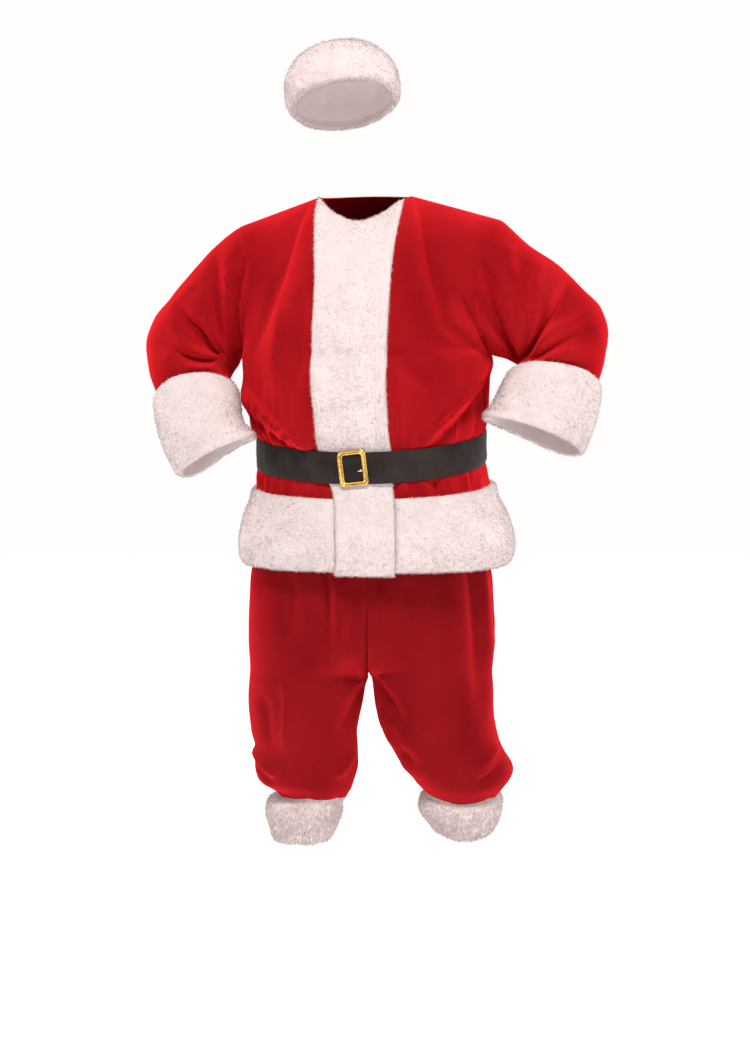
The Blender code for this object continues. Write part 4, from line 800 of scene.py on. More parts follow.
def shaped_jacket(around, height, front):
    """Jacket points with gathers, folds and creases, and the normals there."""
    around, height = np.broadcast_arrays(around, height)
    plain = jacket_point(around, height)
    core = place((-0.01, 0.0, plain[..., 2] - 0.05))
    normals = grid_normals(plain, core)
    lift = gather_lift(around, height) + fold_lift(around, height, JACKET_FOLDS)
    fade = np.clip((SHOULDER_HEIGHT - height) / 0.05, 0, 1)
    side = np.clip(np.minimum(abs(around - 90), abs(around - 270)) / 8, 0, 1)
    side = side * np.clip(abs(around + 90) / 8, 0, 1)
    rise = np.clip((height - ARMPIT_HEIGHT) / YOKE_RISE, 0, 1)
    near_side = np.exp(-(np.cos(np.radians(around)) / 0.14) ** 2)
    left_over = 1 - (1 - smooth(np.sin(math.pi * rise) / 0.35)) * near_side
    top = smooth((SHOULDER_HEIGHT - height) / 0.035)
    belt = smooth((abs(height - BELT_HEIGHT) - BELT_WIDTH / 2) / 0.006)
    hem = smooth((height - 0.90) / 0.04)
    creases = FRONT_CREASES if front else BACK_CREASES
    pushed = crease_lift(plain, creases, JACKET_DEPTH) * left_over * top * belt * hem
    uneven = ripples(plain, 11) * side * fade * belt
    grid = plain + normals * (lift * fade * side + uneven)[..., None] + facing(front) * pushed[..., None]
    return grid, grid_normals(grid, core)


PANELS = {
    "jacket_front_right": (-90.0, PARTING, 92, 146, True),
    "jacket_front_left": (PARTING, 90.0, 74, 146, True),
    "jacket_back": (90.00001, 270.0, 104, 96, False),
}


def draw_in(grid, normals, names):
    """Sink the cloth along its seams."""
    dip = SEAM_DIP * np.exp(-(nearest_edge(grid, names) / SEAM_WIDTH) ** 2)
    return grid - normals * dip[..., None]


def make_jacket(red):
    """The two fronts and the back."""
    made = {}
    for name, (first, last, columns, rows, front) in PANELS.items():
        around = np.linspace(first, last, columns)[None, :]
        height = np.linspace(JACKET_BOTTOM, SHOULDER_HEIGHT, rows)[:, None]
        grid, normals = shaped_jacket(around, height, front)
        normals[-1] = normals[-3]
        edges = ("last_row", "first_column", "last_column")
        grid = draw_in(trim_edges(grid, edges), normals, edges)
        made[name] = cloth(name, grid, normals, red)
    return made


def shaped_sleeve(side, rows, turns):
    """Sleeve points with their creases, and the normals there."""
    table = sleeve_table(side)
    rows, turns = np.broadcast_arrays(rows, turns)
    plain = tube_section(table, rows, turns, armhole=True)
    core = row_cores(plain)
    rise = 1 - abs(turns / math.pi - 1)
    left_over = smooth(abs(np.sin(turns)) / 0.35)
    top = smooth((1 - rise) * YOKE_RISE / 0.035)
    top = top + (1 - top) * smooth(rows)
    end = smooth((CUFF_SEAM - rows) / 0.8)
    pushed = np.zeros(rows.shape)
    for front, creases in ((True, FRONT_CREASES), (False, BACK_CREASES)):
        pushed += np.where((turns < math.pi) == front, crease_lift(plain, creases, SLEEVE_DEPTH), 0)
    way = np.where((turns < math.pi)[..., None], facing(True), facing(False))
    normals = grid_normals(plain, core, wrap=True)
    uneven = ripples(plain, 23) * smooth(rows / 0.5) * end
    grid = plain + way * (pushed * left_over * top * end)[..., None] + normals * uneven[..., None]
    return grid, grid_normals(grid, core, wrap=True)


def make_sleeves(red):
    """The two sleeves."""
    made = {}
    for side in ("left", "right"):
        rows = np.linspace(0, len(SLEEVES[side]) - 1, 70)[:, None]
        turns = (np.arange(104) * 2 * math.pi / 104)[None, :]
        grid, normals = shaped_sleeve(side, rows, turns)
        grid = draw_in(trim_edges(grid, ("first_row",)), normals, ("first_row",))
        name = "sleeve_" + side
        made[name] = cloth(name, grid, normals, red, wrap=True)
    return made


def blades(points, normals, comb, pile, chance):
    """Curved blades of pile: their own points, faces as quads and triangles, and soft normals."""
    count = len(points)
    lay = comb - normals * np.sum(comb * normals, axis=1, keepdims=True)
    lay = lay + 0.22 * chance.standard_normal((count, 3))
    way = unit(normals * pile.stand + lay)
    length = pile.length * chance.uniform(0.65, 1.15, (count, 1))
    flat = unit(normals + 0.35 * chance.standard_normal((count, 3)))
    side = unit(np.cross(way, flat)) * pile.half_width * chance.uniform(0.8, 1.3, (count, 1))
    root = points - normals * 0.0009
    middle = root + way * length * 0.55
    tip = middle + unit(way + lay * 0.55 - np.array((0, 0, 0.25))) * length * 0.45
    verts = np.stack((root - side, root + side, middle - side * 0.8, middle + side * 0.8, tip), 1)
    first = np.arange(count)[:, None] * 5
    shading = np.repeat(unit(normals + 0.20 * way), 5, axis=0)
    return verts.reshape(-1, 3), [first + np.array((0, 1, 3, 2)), first + np.array((2, 3, 4))], shading


def pile_roots(outer, inner, normals, pile, chance, wrap):
    """Where the blades stand: all over the outer grid and in its open rims, with the normals there."""
    closed = np.concatenate((outer, outer[:, :1]), 1) if wrap else outer
    turned = np.concatenate((normals, normals[:, :1]), 1) if wrap else normals
    sides = [closed[:-1, :-1], closed[:-1, 1:], closed[1:, 1:], closed[1:, :-1]]
    area = np.linalg.norm(np.cross(sides[2] - sides[0], sides[3] - sides[1]), axis=-1).ravel() / 2
    count = int(pile.density * area.sum())
    cell = chance.choice(len(area), count, p=area / area.sum())
    row, column = np.divmod(cell, closed.shape[1] - 1)
    u, v = chance.uniform(size=(2, count, 1))
    spots = []
    for source in (closed, turned):
        spots.append((1 - v) * ((1 - u) * source[row, column] + u * source[row, column + 1])
                     + v * ((1 - u) * source[row + 1, column] + u * source[row + 1, column + 1]))
    points, ways = [spots[0]], [unit(spots[1])]
    rims = [(outer[0], inner[0], outer[1]), (outer[-1], inner[-1], outer[-2])]
    if not wrap:
        rims += [(outer[:, 0], inner[:, 0], outer[:, 1]), (outer[:, -1], inner[:, -1], outer[:, -2])]
    for edge, under, beside in rims:
        steps = np.linalg.norm(np.diff(edge, axis=0), axis=1)
        thick = np.linalg.norm(edge - under, axis=1).mean()
        count = int(1.6 * pile.density * steps.sum() * thick)
        k = chance.choice(len(steps), count, p=steps / steps.sum())
        u, w = chance.uniform(size=(2, count, 1))
        top = edge[k] * (1 - u) + edge[k + 1] * u
        low = under[k] * (1 - u) + under[k + 1] * u
        points.append(top * w + low * (1 - w))
        ways.append(unit(unit(top - beside[k]) + unit(top - low) * 0.9 * w))
    return np.concatenate(points), np.concatenate(ways)


def plush(name, middle, normals, thickness, finish, pile, seed, wrap=False, round_rows=(True, True)):
    """A plush piece in place of the node of its name: a rounded, lumpy base, and its pile."""
    chance = np.random.default_rng(seed)
    names = [edge for edge, on in zip(("first_row", "last_row"), round_rows) if on]
    names += [] if wrap else ["first_column", "last_column"]
    far = np.clip(nearest_edge(middle, names) / PLUSH_EDGE, 0, 1)
    round_off = 0.3 + 0.7 * np.sqrt(1 - (1 - far) ** 2)
    thickness = np.broadcast_to(np.asarray(thickness, float), middle.shape[:2])
    lumps = 0.0011 * soft_noise(middle, 0.030, seed) + 0.0007 * soft_noise(middle, 0.012, seed + 1)
    inner = middle - normals * thickness[..., None] / 2
    height = thickness * BASE_SHARE * round_off + lumps * np.clip(thickness / PLUSH, 0, 1)
    outer = inner + normals * np.maximum(height, 0.0008)[..., None]
    backing, hair = finish
    base = own(shell(name + "_plush", outer, inner, backing, wrap), name)
    core = inner - normals * 0.02
    ways = grid_normals(outer, core, wrap)
    points, ways = pile_roots(outer, inner, ways, pile, chance, wrap)
    down = np.array((0.0, 0.0, -1.0)) * pile.fall
    comb = down + 0.30 * soft_vectors(points, 0.026, seed + 5) + 0.16 * soft_vectors(points, 0.008, seed + 9)
    verts, faces, shading = blades(points, ways, comb, pile, chance)
    fur = own(mesh_object(name + "_pile", verts, faces, hair))
    fur.data.shade_smooth()
    fur.data.normals_split_custom_set_from_vertices(shading)
    fur.visible_shadow = False
    return [base, fur]


def layer(name, grid, normals, thickness, finish, seed):
    """Plush that lies on the jacket's outside."""
    grid = trim_edges(grid, ("first_column", "last_column"), LAYER_GAP)
    off = CLOTH / 2 + LAY_GAP + thickness / 2
    return plush(name, grid + normals * off[..., None], normals, thickness, finish, SHORT_PILE, seed)


def make_bands(white):
    """The front band and the hem bands."""
    made = {}
    around = np.linspace(BAND_RIGHT, BAND_LEFT, 32)[None, :]
    height = np.linspace(FRONT_BAND_BOTTOM, SHOULDER_HEIGHT, 150)[:, None]
    grid, normals = shaped_jacket(around, height, True)
    off_belt = smooth((abs(height - BELT_HEIGHT) - BELT_WIDTH / 2) / BAND_PRESSED_OVER)
    thickness = np.broadcast_to(BAND_UNDER_BELT + (PLUSH - BAND_UNDER_BELT) * off_belt, grid.shape[:2])
    made["front_band"] = layer("front_band", grid, normals, thickness, white, 31)
    stretches = {"front_right": (-90.0, BAND_RIGHT, 56, True), "front_left": (BAND_LEFT, 90.0, 50, True),
                 "back": (90.00001, 270.0, 100, False)}
    for seed, (side, (first, last, columns, front)) in enumerate(stretches.items()):
        around = np.linspace(first, last, columns)[None, :]
        height = np.linspace(HEM_BAND_BOTTOM, HEM_BAND_TOP, 26)[:, None]
        grid, normals = shaped_jacket(around, height, front)
        name = "hem_band_" + side
        made[name] = layer(name, grid, normals, np.full(grid.shape[:2], PLUSH), white, 41 + seed * 10)
    return made


def make_cuffs(white):
    """The sleeves' plush cuffs."""
    made = {}
    for seed, (side, table) in enumerate(CUFFS.items()):
        rows = np.linspace(0, len(table) - 1, 26)[:, None]
        turns = (np.arange(100) * 2 * math.pi / 100)[None, :]
        grid = tube_section(table, *np.broadcast_arrays(rows, turns))
        normals = grid_normals(grid, row_cores(grid), wrap=True)
        seam = np.array([[CUFF_SEAM - 0.05], [CUFF_SEAM]])
        sleeve, out = [sheet[-1] for sheet in shaped_sleeve(side, seam, turns)]
        edge = sleeve + out * (CLOTH / 2 + LAY_GAP + PLUSH / 2)
        share = np.clip(rows / 0.5, 0, 1)[..., None]
        grid = edge * (1 - share) + grid * share
        normals = grid_normals(grid, row_cores(grid), wrap=True)
        name = "sleeve_cuff_" + side
        made[name] = plush(name, grid, normals, PLUSH, white, SHORT_PILE, 71 + seed * 10, wrap=True)
    return made


def belt_base(around):
    """How far the belt's inner face lies off the jacket: over the front band it steps out."""
    over = smooth((BAND_CLEAR - abs((around + 180) % 360 - 180)) / BAND_EASE)
    return CLOTH / 2 + LAY_GAP + (BAND_UNDER_BELT + BELT_GAP) * over


def belt_lift(around):
    """How far the strap's first stretch lies over its own free end."""
    return (BELT_THICKNESS + LAY_GAP) * smooth((BELT_TAIL_END + TAIL_CLEAR - around) / TAIL_EASE)


def make_belt(black):
    """The belt: one long strap with rounded edges and soft wrinkles."""
    around = np.linspace(BELT_START, 360 + BELT_TAIL_END, 360)[None, :]
    across = np.linspace(-1, 1, 11)[:, None]
    turned = np.where(around > 270, around - 360, around)
    heights = BELT_HEIGHT + across * BELT_WIDTH / 2
    plain = jacket_point(*np.broadcast_arrays(turned, heights))
    normals = grid_normals(plain, place((-0.01, 0.0, plain[..., 2])))
    off = belt_base(around) + np.where(around < 180, belt_lift(around), 0) + BELT_THICKNESS / 2
    line = place((around / 4.0 + 0.3 * across, across * 0.6, 0.0))
    wrinkle = 0.0009 * soft_noise(line, 1.0, 91) + 0.0007 * soft_noise(line, 0.4, 92)
    middle = plain + normals * (off + wrinkle)[..., None]
    round_off = np.sqrt(np.clip(1.04 - abs(across) ** 8, 0.12, 1))[..., None]
    outer = middle + normals * BELT_THICKNESS / 2 * round_off
    inner = middle - normals * BELT_THICKNESS / 2 * round_off
    return own(shell("belt_strap", outer, inner, black), "belt")


def buckle_frame():
    """The buckle's middle and its three directions: across, up and out."""
    middle = ring_point(JACKET, np.float64(0.0), np.float64(BELT_HEIGHT))
    out = np.array((-math.sin(TURN), -math.cos(TURN), 0.0))
    level = np.array((math.cos(TURN), -math.sin(TURN), 0.0))
    upright = np.array((0.0, 0.0, 1.0))
    across = level * math.cos(BUCKLE_LEAN) + upright * math.sin(BUCKLE_LEAN)
    up = upright * math.cos(BUCKLE_LEAN) - level * math.sin(BUCKLE_LEAN)
    face = CLOTH / 2 + BAND_UNDER_BELT + BELT_THICKNESS + BUCKLE_CLEARANCE
    return middle + out * face, across, up, out


def rounded_frame(half_width, half_height, corner, steps=8):
    """Points of a rectangle with round corners, counter-clockwise."""
    points = []
    for quarter, (x, y) in enumerate(((1, 1), (-1, 1), (-1, -1), (1, -1))):
        for step in range(steps + 1):
            angle = math.pi / 2 * (quarter + step / steps)
            points.append((x * (half_width - corner) + corner * math.cos(angle),
                           y * (half_height - corner) + corner * math.sin(angle)))
    return np.array(points)


# The buckle's section: how far in from its outer edge, and how high, as shares of the bar and the depth
BUCKLE_SECTION = ((0.00, 0.00), (0.00, 0.45), (0.05, 0.74), (0.14, 0.95), (0.24, 1.00), (0.34, 0.92),
                  (0.43, 0.66), (0.50, 0.58), (0.57, 0.66), (0.66, 0.90), (0.76, 0.97), (0.87, 0.90),
                  (0.95, 0.68), (1.00, 0.40), (1.00, 0.00))


def make_buckle(gold, steel):
    """The buckle's frame, a ring with two ridges, and its small prong."""
    middle, across, up, out = buckle_frame()
    loops = []
    for inset, rise in BUCKLE_SECTION:
        outline = rounded_frame(BUCKLE_WIDTH / 2 - BUCKLE_SIDE_BAR * inset,
                                BUCKLE_HEIGHT / 2 - BUCKLE_END_BAR * inset, 0.0075 - 0.0035 * inset)
        loops.append(middle + outline[:, :1] * across + outline[:, 1:] * up + out * (rise * BUCKLE_DEPTH))
    loops = np.array(loops)
    made = {"belt_buckle": own(ring_of(loops, "buckle_frame", gold), "belt_buckle")}
    start = middle + across * (BUCKLE_WIDTH / 2 - BUCKLE_SIDE_BAR - SEAM_GAP) - up * 0.006
    turns = np.arange(12) * 2 * math.pi / 12
    sections = []
    for along, half, lift in ((0.0, 0.0012, 0.0012), (0.002, 0.0014, 0.0016), (0.004, 0.0019, 0.0020),
                              (0.0055, 0.0012, 0.0017), (0.0085, 0.0008, 0.0015), (0.0090, 0.0003, 0.0014)):
        centre = start - across * along + out * lift
        sections.append(centre + half * (np.cos(turns)[:, None] * up + 0.7 * np.sin(turns)[:, None] * out))
    made["belt_prong"] = own(capped_tube(np.array(sections), "buckle_prong", steel), "belt_prong")
    return made


def ring_of(loops, name, finish):
    """A closed ring through loops of points, each joined to the next and the last to the first."""
    count, size = loops.shape[:2]
    loop, k = np.meshgrid(np.arange(count), np.arange(size), indexing="ij")
    after, following = (k + 1) % size, (loop + 1) % count
    quads = np.stack([part.ravel() for part in (loop * size + k, loop * size + after,
                                                following * size + after, following * size + k)], 1)
    made = mesh_object(name, loops, [quads], finish)
    face_out(made, 40)
    return made


def capped_tube(sections, name, finish):
    """A tube through sections of points with both ends closed."""
    count, size = sections.shape[:2]
    section, k = np.meshgrid(np.arange(count - 1), np.arange(size), indexing="ij")
    after = (k + 1) % size
    quads = np.stack([part.ravel() for part in (section * size + k, section * size + after,
                                                (section + 1) * size + after, (section + 1) * size + k)], 1)
    ends = np.stack((np.arange(size)[::-1], (count - 1) * size + np.arange(size)))
    made = mesh_object(name, sections, [quads, ends], finish)
    face_out(made, 50)
    return made


def waist_point(around, height):
    """Points of the trousers' waist, just inside the jacket where the belt draws it in."""
    ring = ring_point(JACKET, around, np.full_like(around, BELT_HEIGHT))
    middle = np.array((read(JACKET, "centre", BELT_HEIGHT), 0.0, 0.0))
    inset = unit((ring - middle) * (1, 1, 0)) * (CLOTH + WAIST_GAP)
    return place((ring[..., 0] - inset[..., 0], ring[..., 1] - inset[..., 1], height))


def hem_rise(side, height, angle):
    """How far a trouser leg's end and its cuff are pushed up, angle from the leg's own side."""
    middle, ends = HEM_RISE[side]
    share = np.clip((HEM_RISE_TOP - height) / (HEM_RISE_TOP - LEG_BOTTOM), 0, 1)
    return (middle + (ends - middle) * np.cos(angle) ** 2) * share


def leg_point(side, share, height, face):
    """Points of a trouser panel: share 0 at the seam between the legs, 1 at the outer seam."""
    table = LEGS[side]
    sign = 1 if side == "left" else -1
    centre = (read(table, "centre", height) - CROTCH_X) * sign
    half_width = read(table, "half_width", height)
    limit = np.arccos(np.clip(-centre / half_width, -1, 1))
    angle = limit * (1 - share)
    reach = (abs(np.sin(angle)) ** FULLNESS + abs(np.cos(angle)) ** FULLNESS) ** (-1 / FULLNESS)
    end_reach = (abs(np.sin(limit)) ** FULLNESS + abs(np.cos(limit)) ** FULLNESS) ** (-1 / FULLNESS)
    reach = 1 + (reach - 1) * np.clip(1 - abs(end_reach - 1) * 40, 0, 1)
    depth = read(table, "front" if face == "front" else "back", height)
    forward = -1 if face == "front" else 1
    across = centre + half_width * np.cos(angle) * reach
    leg = place((CROTCH_X + sign * across,
                 read(table, "middle_y", height) + forward * depth * np.sin(angle) * reach,
                 height + hem_rise(side, height, angle)))
    around = sign * (90 * share if face == "front" else 180 - 90 * share)
    rise = np.clip((height - WAIST_FROM) / (LEG_TOP - WAIST_FROM), 0, 1)
    share_of_waist = (rise * rise * (3 - 2 * rise))[..., None]
    return leg * (1 - share_of_waist) + waist_point(np.radians(around), height) * share_of_waist


def make_trousers(red):
    """The four trouser panels."""
    made = {}
    height = np.linspace(LEG_BOTTOM, LEG_TOP, 110)[:, None]
    share = np.linspace(0, 1, 50)[None, :]
    for side, sign in (("left", 1), ("right", -1)):
        faces = {face: leg_point(side, *np.broadcast_arrays(share, height), face) for face in ("front", "back")}
        middle = (faces["front"].mean(axis=1) + faces["back"].mean(axis=1)) / 2
        for face, grid in faces.items():
            core_x = np.minimum(abs(read(LEGS[side], "centre", height)), 0.12)
            core = place((np.broadcast_to(CROTCH_X + sign * core_x, grid.shape[:2]), 0.0, grid[..., 2]))
            normals = grid_normals(grid, core)
            seams = ("first_column", "last_column")
            fade = smooth(nearest_edge(grid, seams) / 0.02) * smooth((WAIST_FROM - height) / 0.05)
            tall = np.broadcast_to(height, grid.shape[:2])
            turn_from = np.broadcast_to(middle[:, None], grid.shape)
            turn = np.arctan2(grid[..., 1] - turn_from[..., 1], grid[..., 0] - turn_from[..., 0])
            gathers = 0.0032 * soft_noise(place((turn * 3.5, 0.0 * tall, sign + 0.0 * tall)), 1.0, 51)
            gathers = gathers * np.exp(-(tall - LEG_BOTTOM) / 0.024)
            lift = crease_lift(grid, TROUSER_CREASES[face], TROUSER_DEPTH) * smooth((tall - 0.362) / 0.03)
            lift = (lift + ripples(grid, 37) * smooth((tall - LEG_BOTTOM) / 0.01)) * fade + gathers
            grid = grid + normals * lift[..., None]
            normals = grid_normals(grid, core)
            normals[-1] = unit(normals[-1] * (1, 1, 0))
            grid = draw_in(trim_edges(grid, (*seams, "last_row")), normals, seams)
            name = f"trouser_{face}_{side}"
            made[name] = cloth(name, grid, normals, red)
    return made


def make_waistband(red):
    """The trousers' waistband, out of sight inside the jacket, softly gathered by its elastic."""
    around = (np.arange(180) * 2 * math.pi / 180)[None, :]
    height = LEG_TOP + SEAM_GAP + np.linspace(0, WAISTBAND_WIDTH, 10)[:, None]
    grid = waist_point(*np.broadcast_arrays(around, height))
    normals = grid_normals(grid, row_cores(grid), wrap=True)
    puckers = 0.0004 * (np.sin(around * 70) - 1)
    grid = grid + normals * np.broadcast_to(puckers, grid.shape[:2])[..., None]
    name = "trouser_waistband"
    return {name: cloth(name, grid, normals, red, wrap=True)}


def make_leg_cuffs(white):
    """The plush cuffs under the trouser legs, with a longer pile."""
    made = {}
    turns = (np.arange(108) * 2 * math.pi / 108)[None, :]
    reach = (abs(np.sin(turns)) ** FULLNESS + abs(np.cos(turns)) ** FULLNESS) ** (-1 / FULLNESS)
    for seed, (side, table) in enumerate(LEG_CUFFS.items()):
        hem = Leg(*[read(LEGS[side], name, LEG_BOTTOM) for name in Leg._fields])
        inside = CLOTH / 2 + LAY_GAP + PLUSH * LEG_CUFF_NECK / 2
        neck = [LegCuff(height, hem.centre, hem.half_width - inside, hem.front - inside)
                for height in LEG_CUFF_INSIDE]
        rows = [*table, *neck]
        height = np.linspace(table[0].height, LEG_CUFF_INSIDE[-1], 28)[:, None]
        grid = place((read(rows, "centre", height) + read(rows, "half_width", height) * np.cos(turns) * reach,
                      hem.middle_y + read(rows, "depth", height) * np.sin(turns) * reach,
                      height + hem_rise(side, height, turns)))
        normals = grid_normals(grid, row_cores(grid), wrap=True)
        thin = smooth((height - 0.330) / 0.024)
        thickness = np.broadcast_to(PLUSH * (1 - (1 - LEG_CUFF_NECK) * thin), grid.shape[:2])
        name = "leg_cuff_" + side
        base = plush(name, grid, normals, thickness, white, LONG_PILE, 101 + seed * 10, wrap=True,
                     round_rows=(True, False))
        made[name] = base
    return made


def hat_frame():
    """The hat's axis and the two directions across it: to its left and to its back."""
    axis = unit(np.array((math.sin(HAT_LEAN_SIDE), math.sin(HAT_LEAN_BACK), math.cos(HAT_LEAN_BACK))))
    left = unit(np.cross(np.array((0.0, 1.0, 0.0)), axis))
    return axis, left, np.cross(axis, left)


def finer_rows(grid, steps):
    """Rows between a grid's rows, along smooth curves."""
    rows = len(grid)
    at = np.linspace(0, rows - 1, (rows - 1) * steps + 1)
    k = np.clip(at.astype(int), 0, rows - 2)
    t = (at - k)[:, None, None]
    slopes = np.gradient(grid, axis=0)
    ease = t * t * (3 - 2 * t)
    return ((1 - ease) * grid[k] + ease * grid[k + 1]
            + t * (1 - t) * ((1 - t) * slopes[k] - t * slopes[k + 1]))


def make_hat(white, red):
    """The hat's plush band, and its crown folded over behind."""
    axis, left, back = hat_frame()
    centre = np.array(HAT_CENTRE)
    turns = (np.arange(150) * 2 * math.pi / 150)[None, :, None]
    heights = np.linspace(0, HAT_BAND[-1].height, 28)[:, None, None]
    radius = read(HAT_BAND, "radius", heights)
    grid = centre + axis * heights + radius * (left * np.cos(turns) + back * np.sin(turns))
    normals = grid_normals(grid, row_cores(grid), wrap=True)
    made = {"hat_band": plush("hat_band", grid, normals, HAT_PLUSH, white, HAT_PILE, 131, wrap=True)}
    tops = np.linspace(0, HAT_BAND[-1].height, 7)[-2:, None, None]
    thickness = HAT_PLUSH * np.array((0.9, 0.6))[:, None, None]
    radius = read(HAT_BAND, "radius", tops) - thickness / 2 - LAY_GAP - CLOTH / 2
    inside = centre + axis * tops + radius * (left * np.cos(turns) + back * np.sin(turns))
    bends = {name: np.array([getattr(row, name) for row in HAT_CROWN])[:, None, None]
             for name in Bend._fields}
    tilt = np.radians(bends["tilt"])
    across = back * np.cos(tilt) - axis * np.sin(tilt)
    folded = (centre + back * bends["back"] + axis * bends["height"]
              + bends["half_width"] * left * np.cos(turns) + bends["half_depth"] * across * np.sin(turns))
    grid = finer_rows(np.concatenate((inside, folded)), 7)
    normals = grid_normals(grid, row_cores(grid), wrap=True)
    lift = 0.0018 * soft_noise(grid, 0.028, 7) + 0.0007 * soft_noise(grid, 0.012, 8)
    lift[:10] = 0
    grid = grid + normals * lift[..., None]
    normals = grid_normals(grid, row_cores(grid), wrap=True)
    made["hat_crown"] = cloth("hat_crown", grid, normals, red, wrap=True)
    return made


def new_material(name):
    """An empty node material with its shader and its links."""
    made = bpy.data.materials.new(name)
    made.use_nodes = True
    tree = made.node_tree
    return made, tree.nodes, tree.links, tree.nodes["Principled BSDF"]


def set_sockets(shader, **values):
    """Set a shader's own sockets, by their names in lower case with underscores."""
    sockets = {socket.name.lower().replace(" ", "_"): socket for socket in shader.inputs}
    for name, value in values.items():
        sockets[name].default_value = value


def noise_node(nodes, links, scale, detail=3.0, stretch=None):
    """A noise texture in the part's own space, stretched along an axis if asked for."""
    place_node = nodes.new("ShaderNodeTexCoord")
    noise = nodes.new("ShaderNodeTexNoise")
    noise.inputs["Scale"].default_value = scale
    noise.inputs["Detail"].default_value = detail
    if stretch:
        mapping = nodes.new("ShaderNodeMapping")
        mapping.inputs["Scale"].default_value = stretch
        links.new(place_node.outputs["Object"], mapping.inputs["Vector"])
        links.new(mapping.outputs["Vector"], noise.inputs["Vector"])
    else:
        links.new(place_node.outputs["Object"], noise.inputs["Vector"])
    return noise


def ramp_node(nodes, links, source, stops):
    """A colour ramp over a noise: stops are places and colours."""
    ramp = nodes.new("ShaderNodeValToRGB")
    elements = ramp.color_ramp.elements
    while len(elements) < len(stops):
        elements.new(0.5)
    for element, (at, colour) in zip(elements, stops):
        element.position = at
        element.color = (*colour, 1.0)
    links.new(source.outputs["Fac"], ramp.inputs["Fac"])
    return ramp


def range_node(nodes, links, source, low, high):
    """Map a noise to a range of values."""
    made = nodes.new("ShaderNodeMapRange")
    made.inputs["From Min"].default_value = 0.3
    made.inputs["From Max"].default_value = 0.7
    made.inputs["To Min"].default_value = low
    made.inputs["To Max"].default_value = high
    links.new(source.outputs["Fac"], made.inputs["Value"])
    return made


def bump_node(nodes, links, source, strength, distance, under=None):
    """A bump over a noise, on top of another bump if given."""
    bump = nodes.new("ShaderNodeBump")
    bump.inputs["Strength"].default_value = strength
    bump.inputs["Distance"].default_value = distance
    links.new(source.outputs["Fac"], bump.inputs["Height"])
    if under:
        links.new(under.outputs["Normal"], bump.inputs["Normal"])
    return bump


def velvet(name, deep, full, bright, roughness):
    """Velvet: brushed in soft patches, a fine pile grain, a sheen along its edges, and painted sheen: its colour
    darkened face-on and full at grazing angles.
    """
    made, nodes, links, shader = new_material(name)
    patches = noise_node(nodes, links, 7.0, 4.0, (1.0, 1.0, 0.45))
    colours = ramp_node(nodes, links, patches, ((0.30, deep), (0.50, full), (0.72, bright)))
    grain = noise_node(nodes, links, 900.0, 2.0)
    speckle = ramp_node(nodes, links, grain, ((0.30, (0.86, 0.80, 0.80)), (0.70, (1.0, 1.0, 1.0))))
    mix = nodes.new("ShaderNodeMix")
    mix.data_type = "RGBA"
    mix.blend_type = "MULTIPLY"
    mix.inputs["Factor"].default_value = 1.0
    links.new(colours.outputs["Color"], mix.inputs["A"])
    links.new(speckle.outputs["Color"], mix.inputs["B"])
    # Painted sheen: the colour is darkened to 0.42 face-on and kept full towards grazing angles, so edges and fold
    # flanks look lit.
    slanted = nodes.new("ShaderNodeLayerWeight")
    slanted.inputs["Blend"].default_value = 0.5
    painted_sheen_ramp = nodes.new("ShaderNodeValToRGB")
    for element, (at, grey) in zip(painted_sheen_ramp.color_ramp.elements, ((0.15, 0.42), (0.95, 1.0))):
        element.position = at
        element.color = (grey, grey, grey, 1.0)
    links.new(slanted.outputs["Facing"], painted_sheen_ramp.inputs["Fac"])
    painted_sheen_colour = nodes.new("ShaderNodeMix")
    painted_sheen_colour.data_type = "RGBA"
    painted_sheen_colour.blend_type = "MULTIPLY"
    painted_sheen_colour.inputs["Factor"].default_value = 1.0
    links.new(mix.outputs["Result"], painted_sheen_colour.inputs["A"])
    links.new(painted_sheen_ramp.outputs["Color"], painted_sheen_colour.inputs["B"])
    links.new(painted_sheen_colour.outputs["Result"], shader.inputs["Base Color"])
    rough = range_node(nodes, links, patches, roughness - 0.05, roughness + 0.07)
    links.new(rough.outputs["Result"], shader.inputs["Roughness"])
    brushed = noise_node(nodes, links, 60.0, 4.0, (1.0, 1.0, 0.35))
    soft = bump_node(nodes, links, brushed, 0.25, 0.0008)
    fine = bump_node(nodes, links, grain, 0.35, 0.0003, soft)
    links.new(fine.outputs["Normal"], shader.inputs["Normal"])
    set_sockets(shader, sheen_weight=0.30, sheen_roughness=0.30, sheen_tint=(1.0, 0.03, 0.05, 1.0),
                specular_ior_level=0.0)
    return made


def plush_finish(name, hair):
    """White plush: pinkish white with a painted glow, and its hairs let light through."""
    made, nodes, links, shader = new_material(name)
    patches = noise_node(nodes, links, 30.0, 4.0)
    colours = ramp_node(nodes, links, patches, ((0.25, (0.50, 0.424, 0.410)), (0.50, (0.53, 0.452, 0.437)),
                                                (0.75, (0.56, 0.480, 0.465))))
    links.new(colours.outputs["Color"], shader.inputs["Base Color"])
    # The emission is painted glow in the plush's own colour, standing for light scattered between the hairs.
    links.new(colours.outputs["Color"], shader.inputs["Emission Color"])
    tufts = noise_node(nodes, links, 420.0, 3.0)
    bump = bump_node(nodes, links, tufts, 0.25, 0.0006)
    links.new(bump.outputs["Normal"], shader.inputs["Normal"])
    set_sockets(shader, roughness=0.85, specular_ior_level=0.10, emission_strength=PAINTED_PLUSH_GLOW)
    through = nodes.new("ShaderNodeBsdfTranslucent")
    links.new(colours.outputs["Color"], through.inputs["Color"])
    both = nodes.new("ShaderNodeMixShader")
    both.inputs["Fac"].default_value = HAIR_TRANSLUCENCY if hair else 0.0
    links.new(shader.outputs["BSDF"], both.inputs[1])
    links.new(through.outputs["BSDF"], both.inputs[2])
    links.new(both.outputs["Shader"], nodes["Material Output"].inputs["Surface"])
    return made


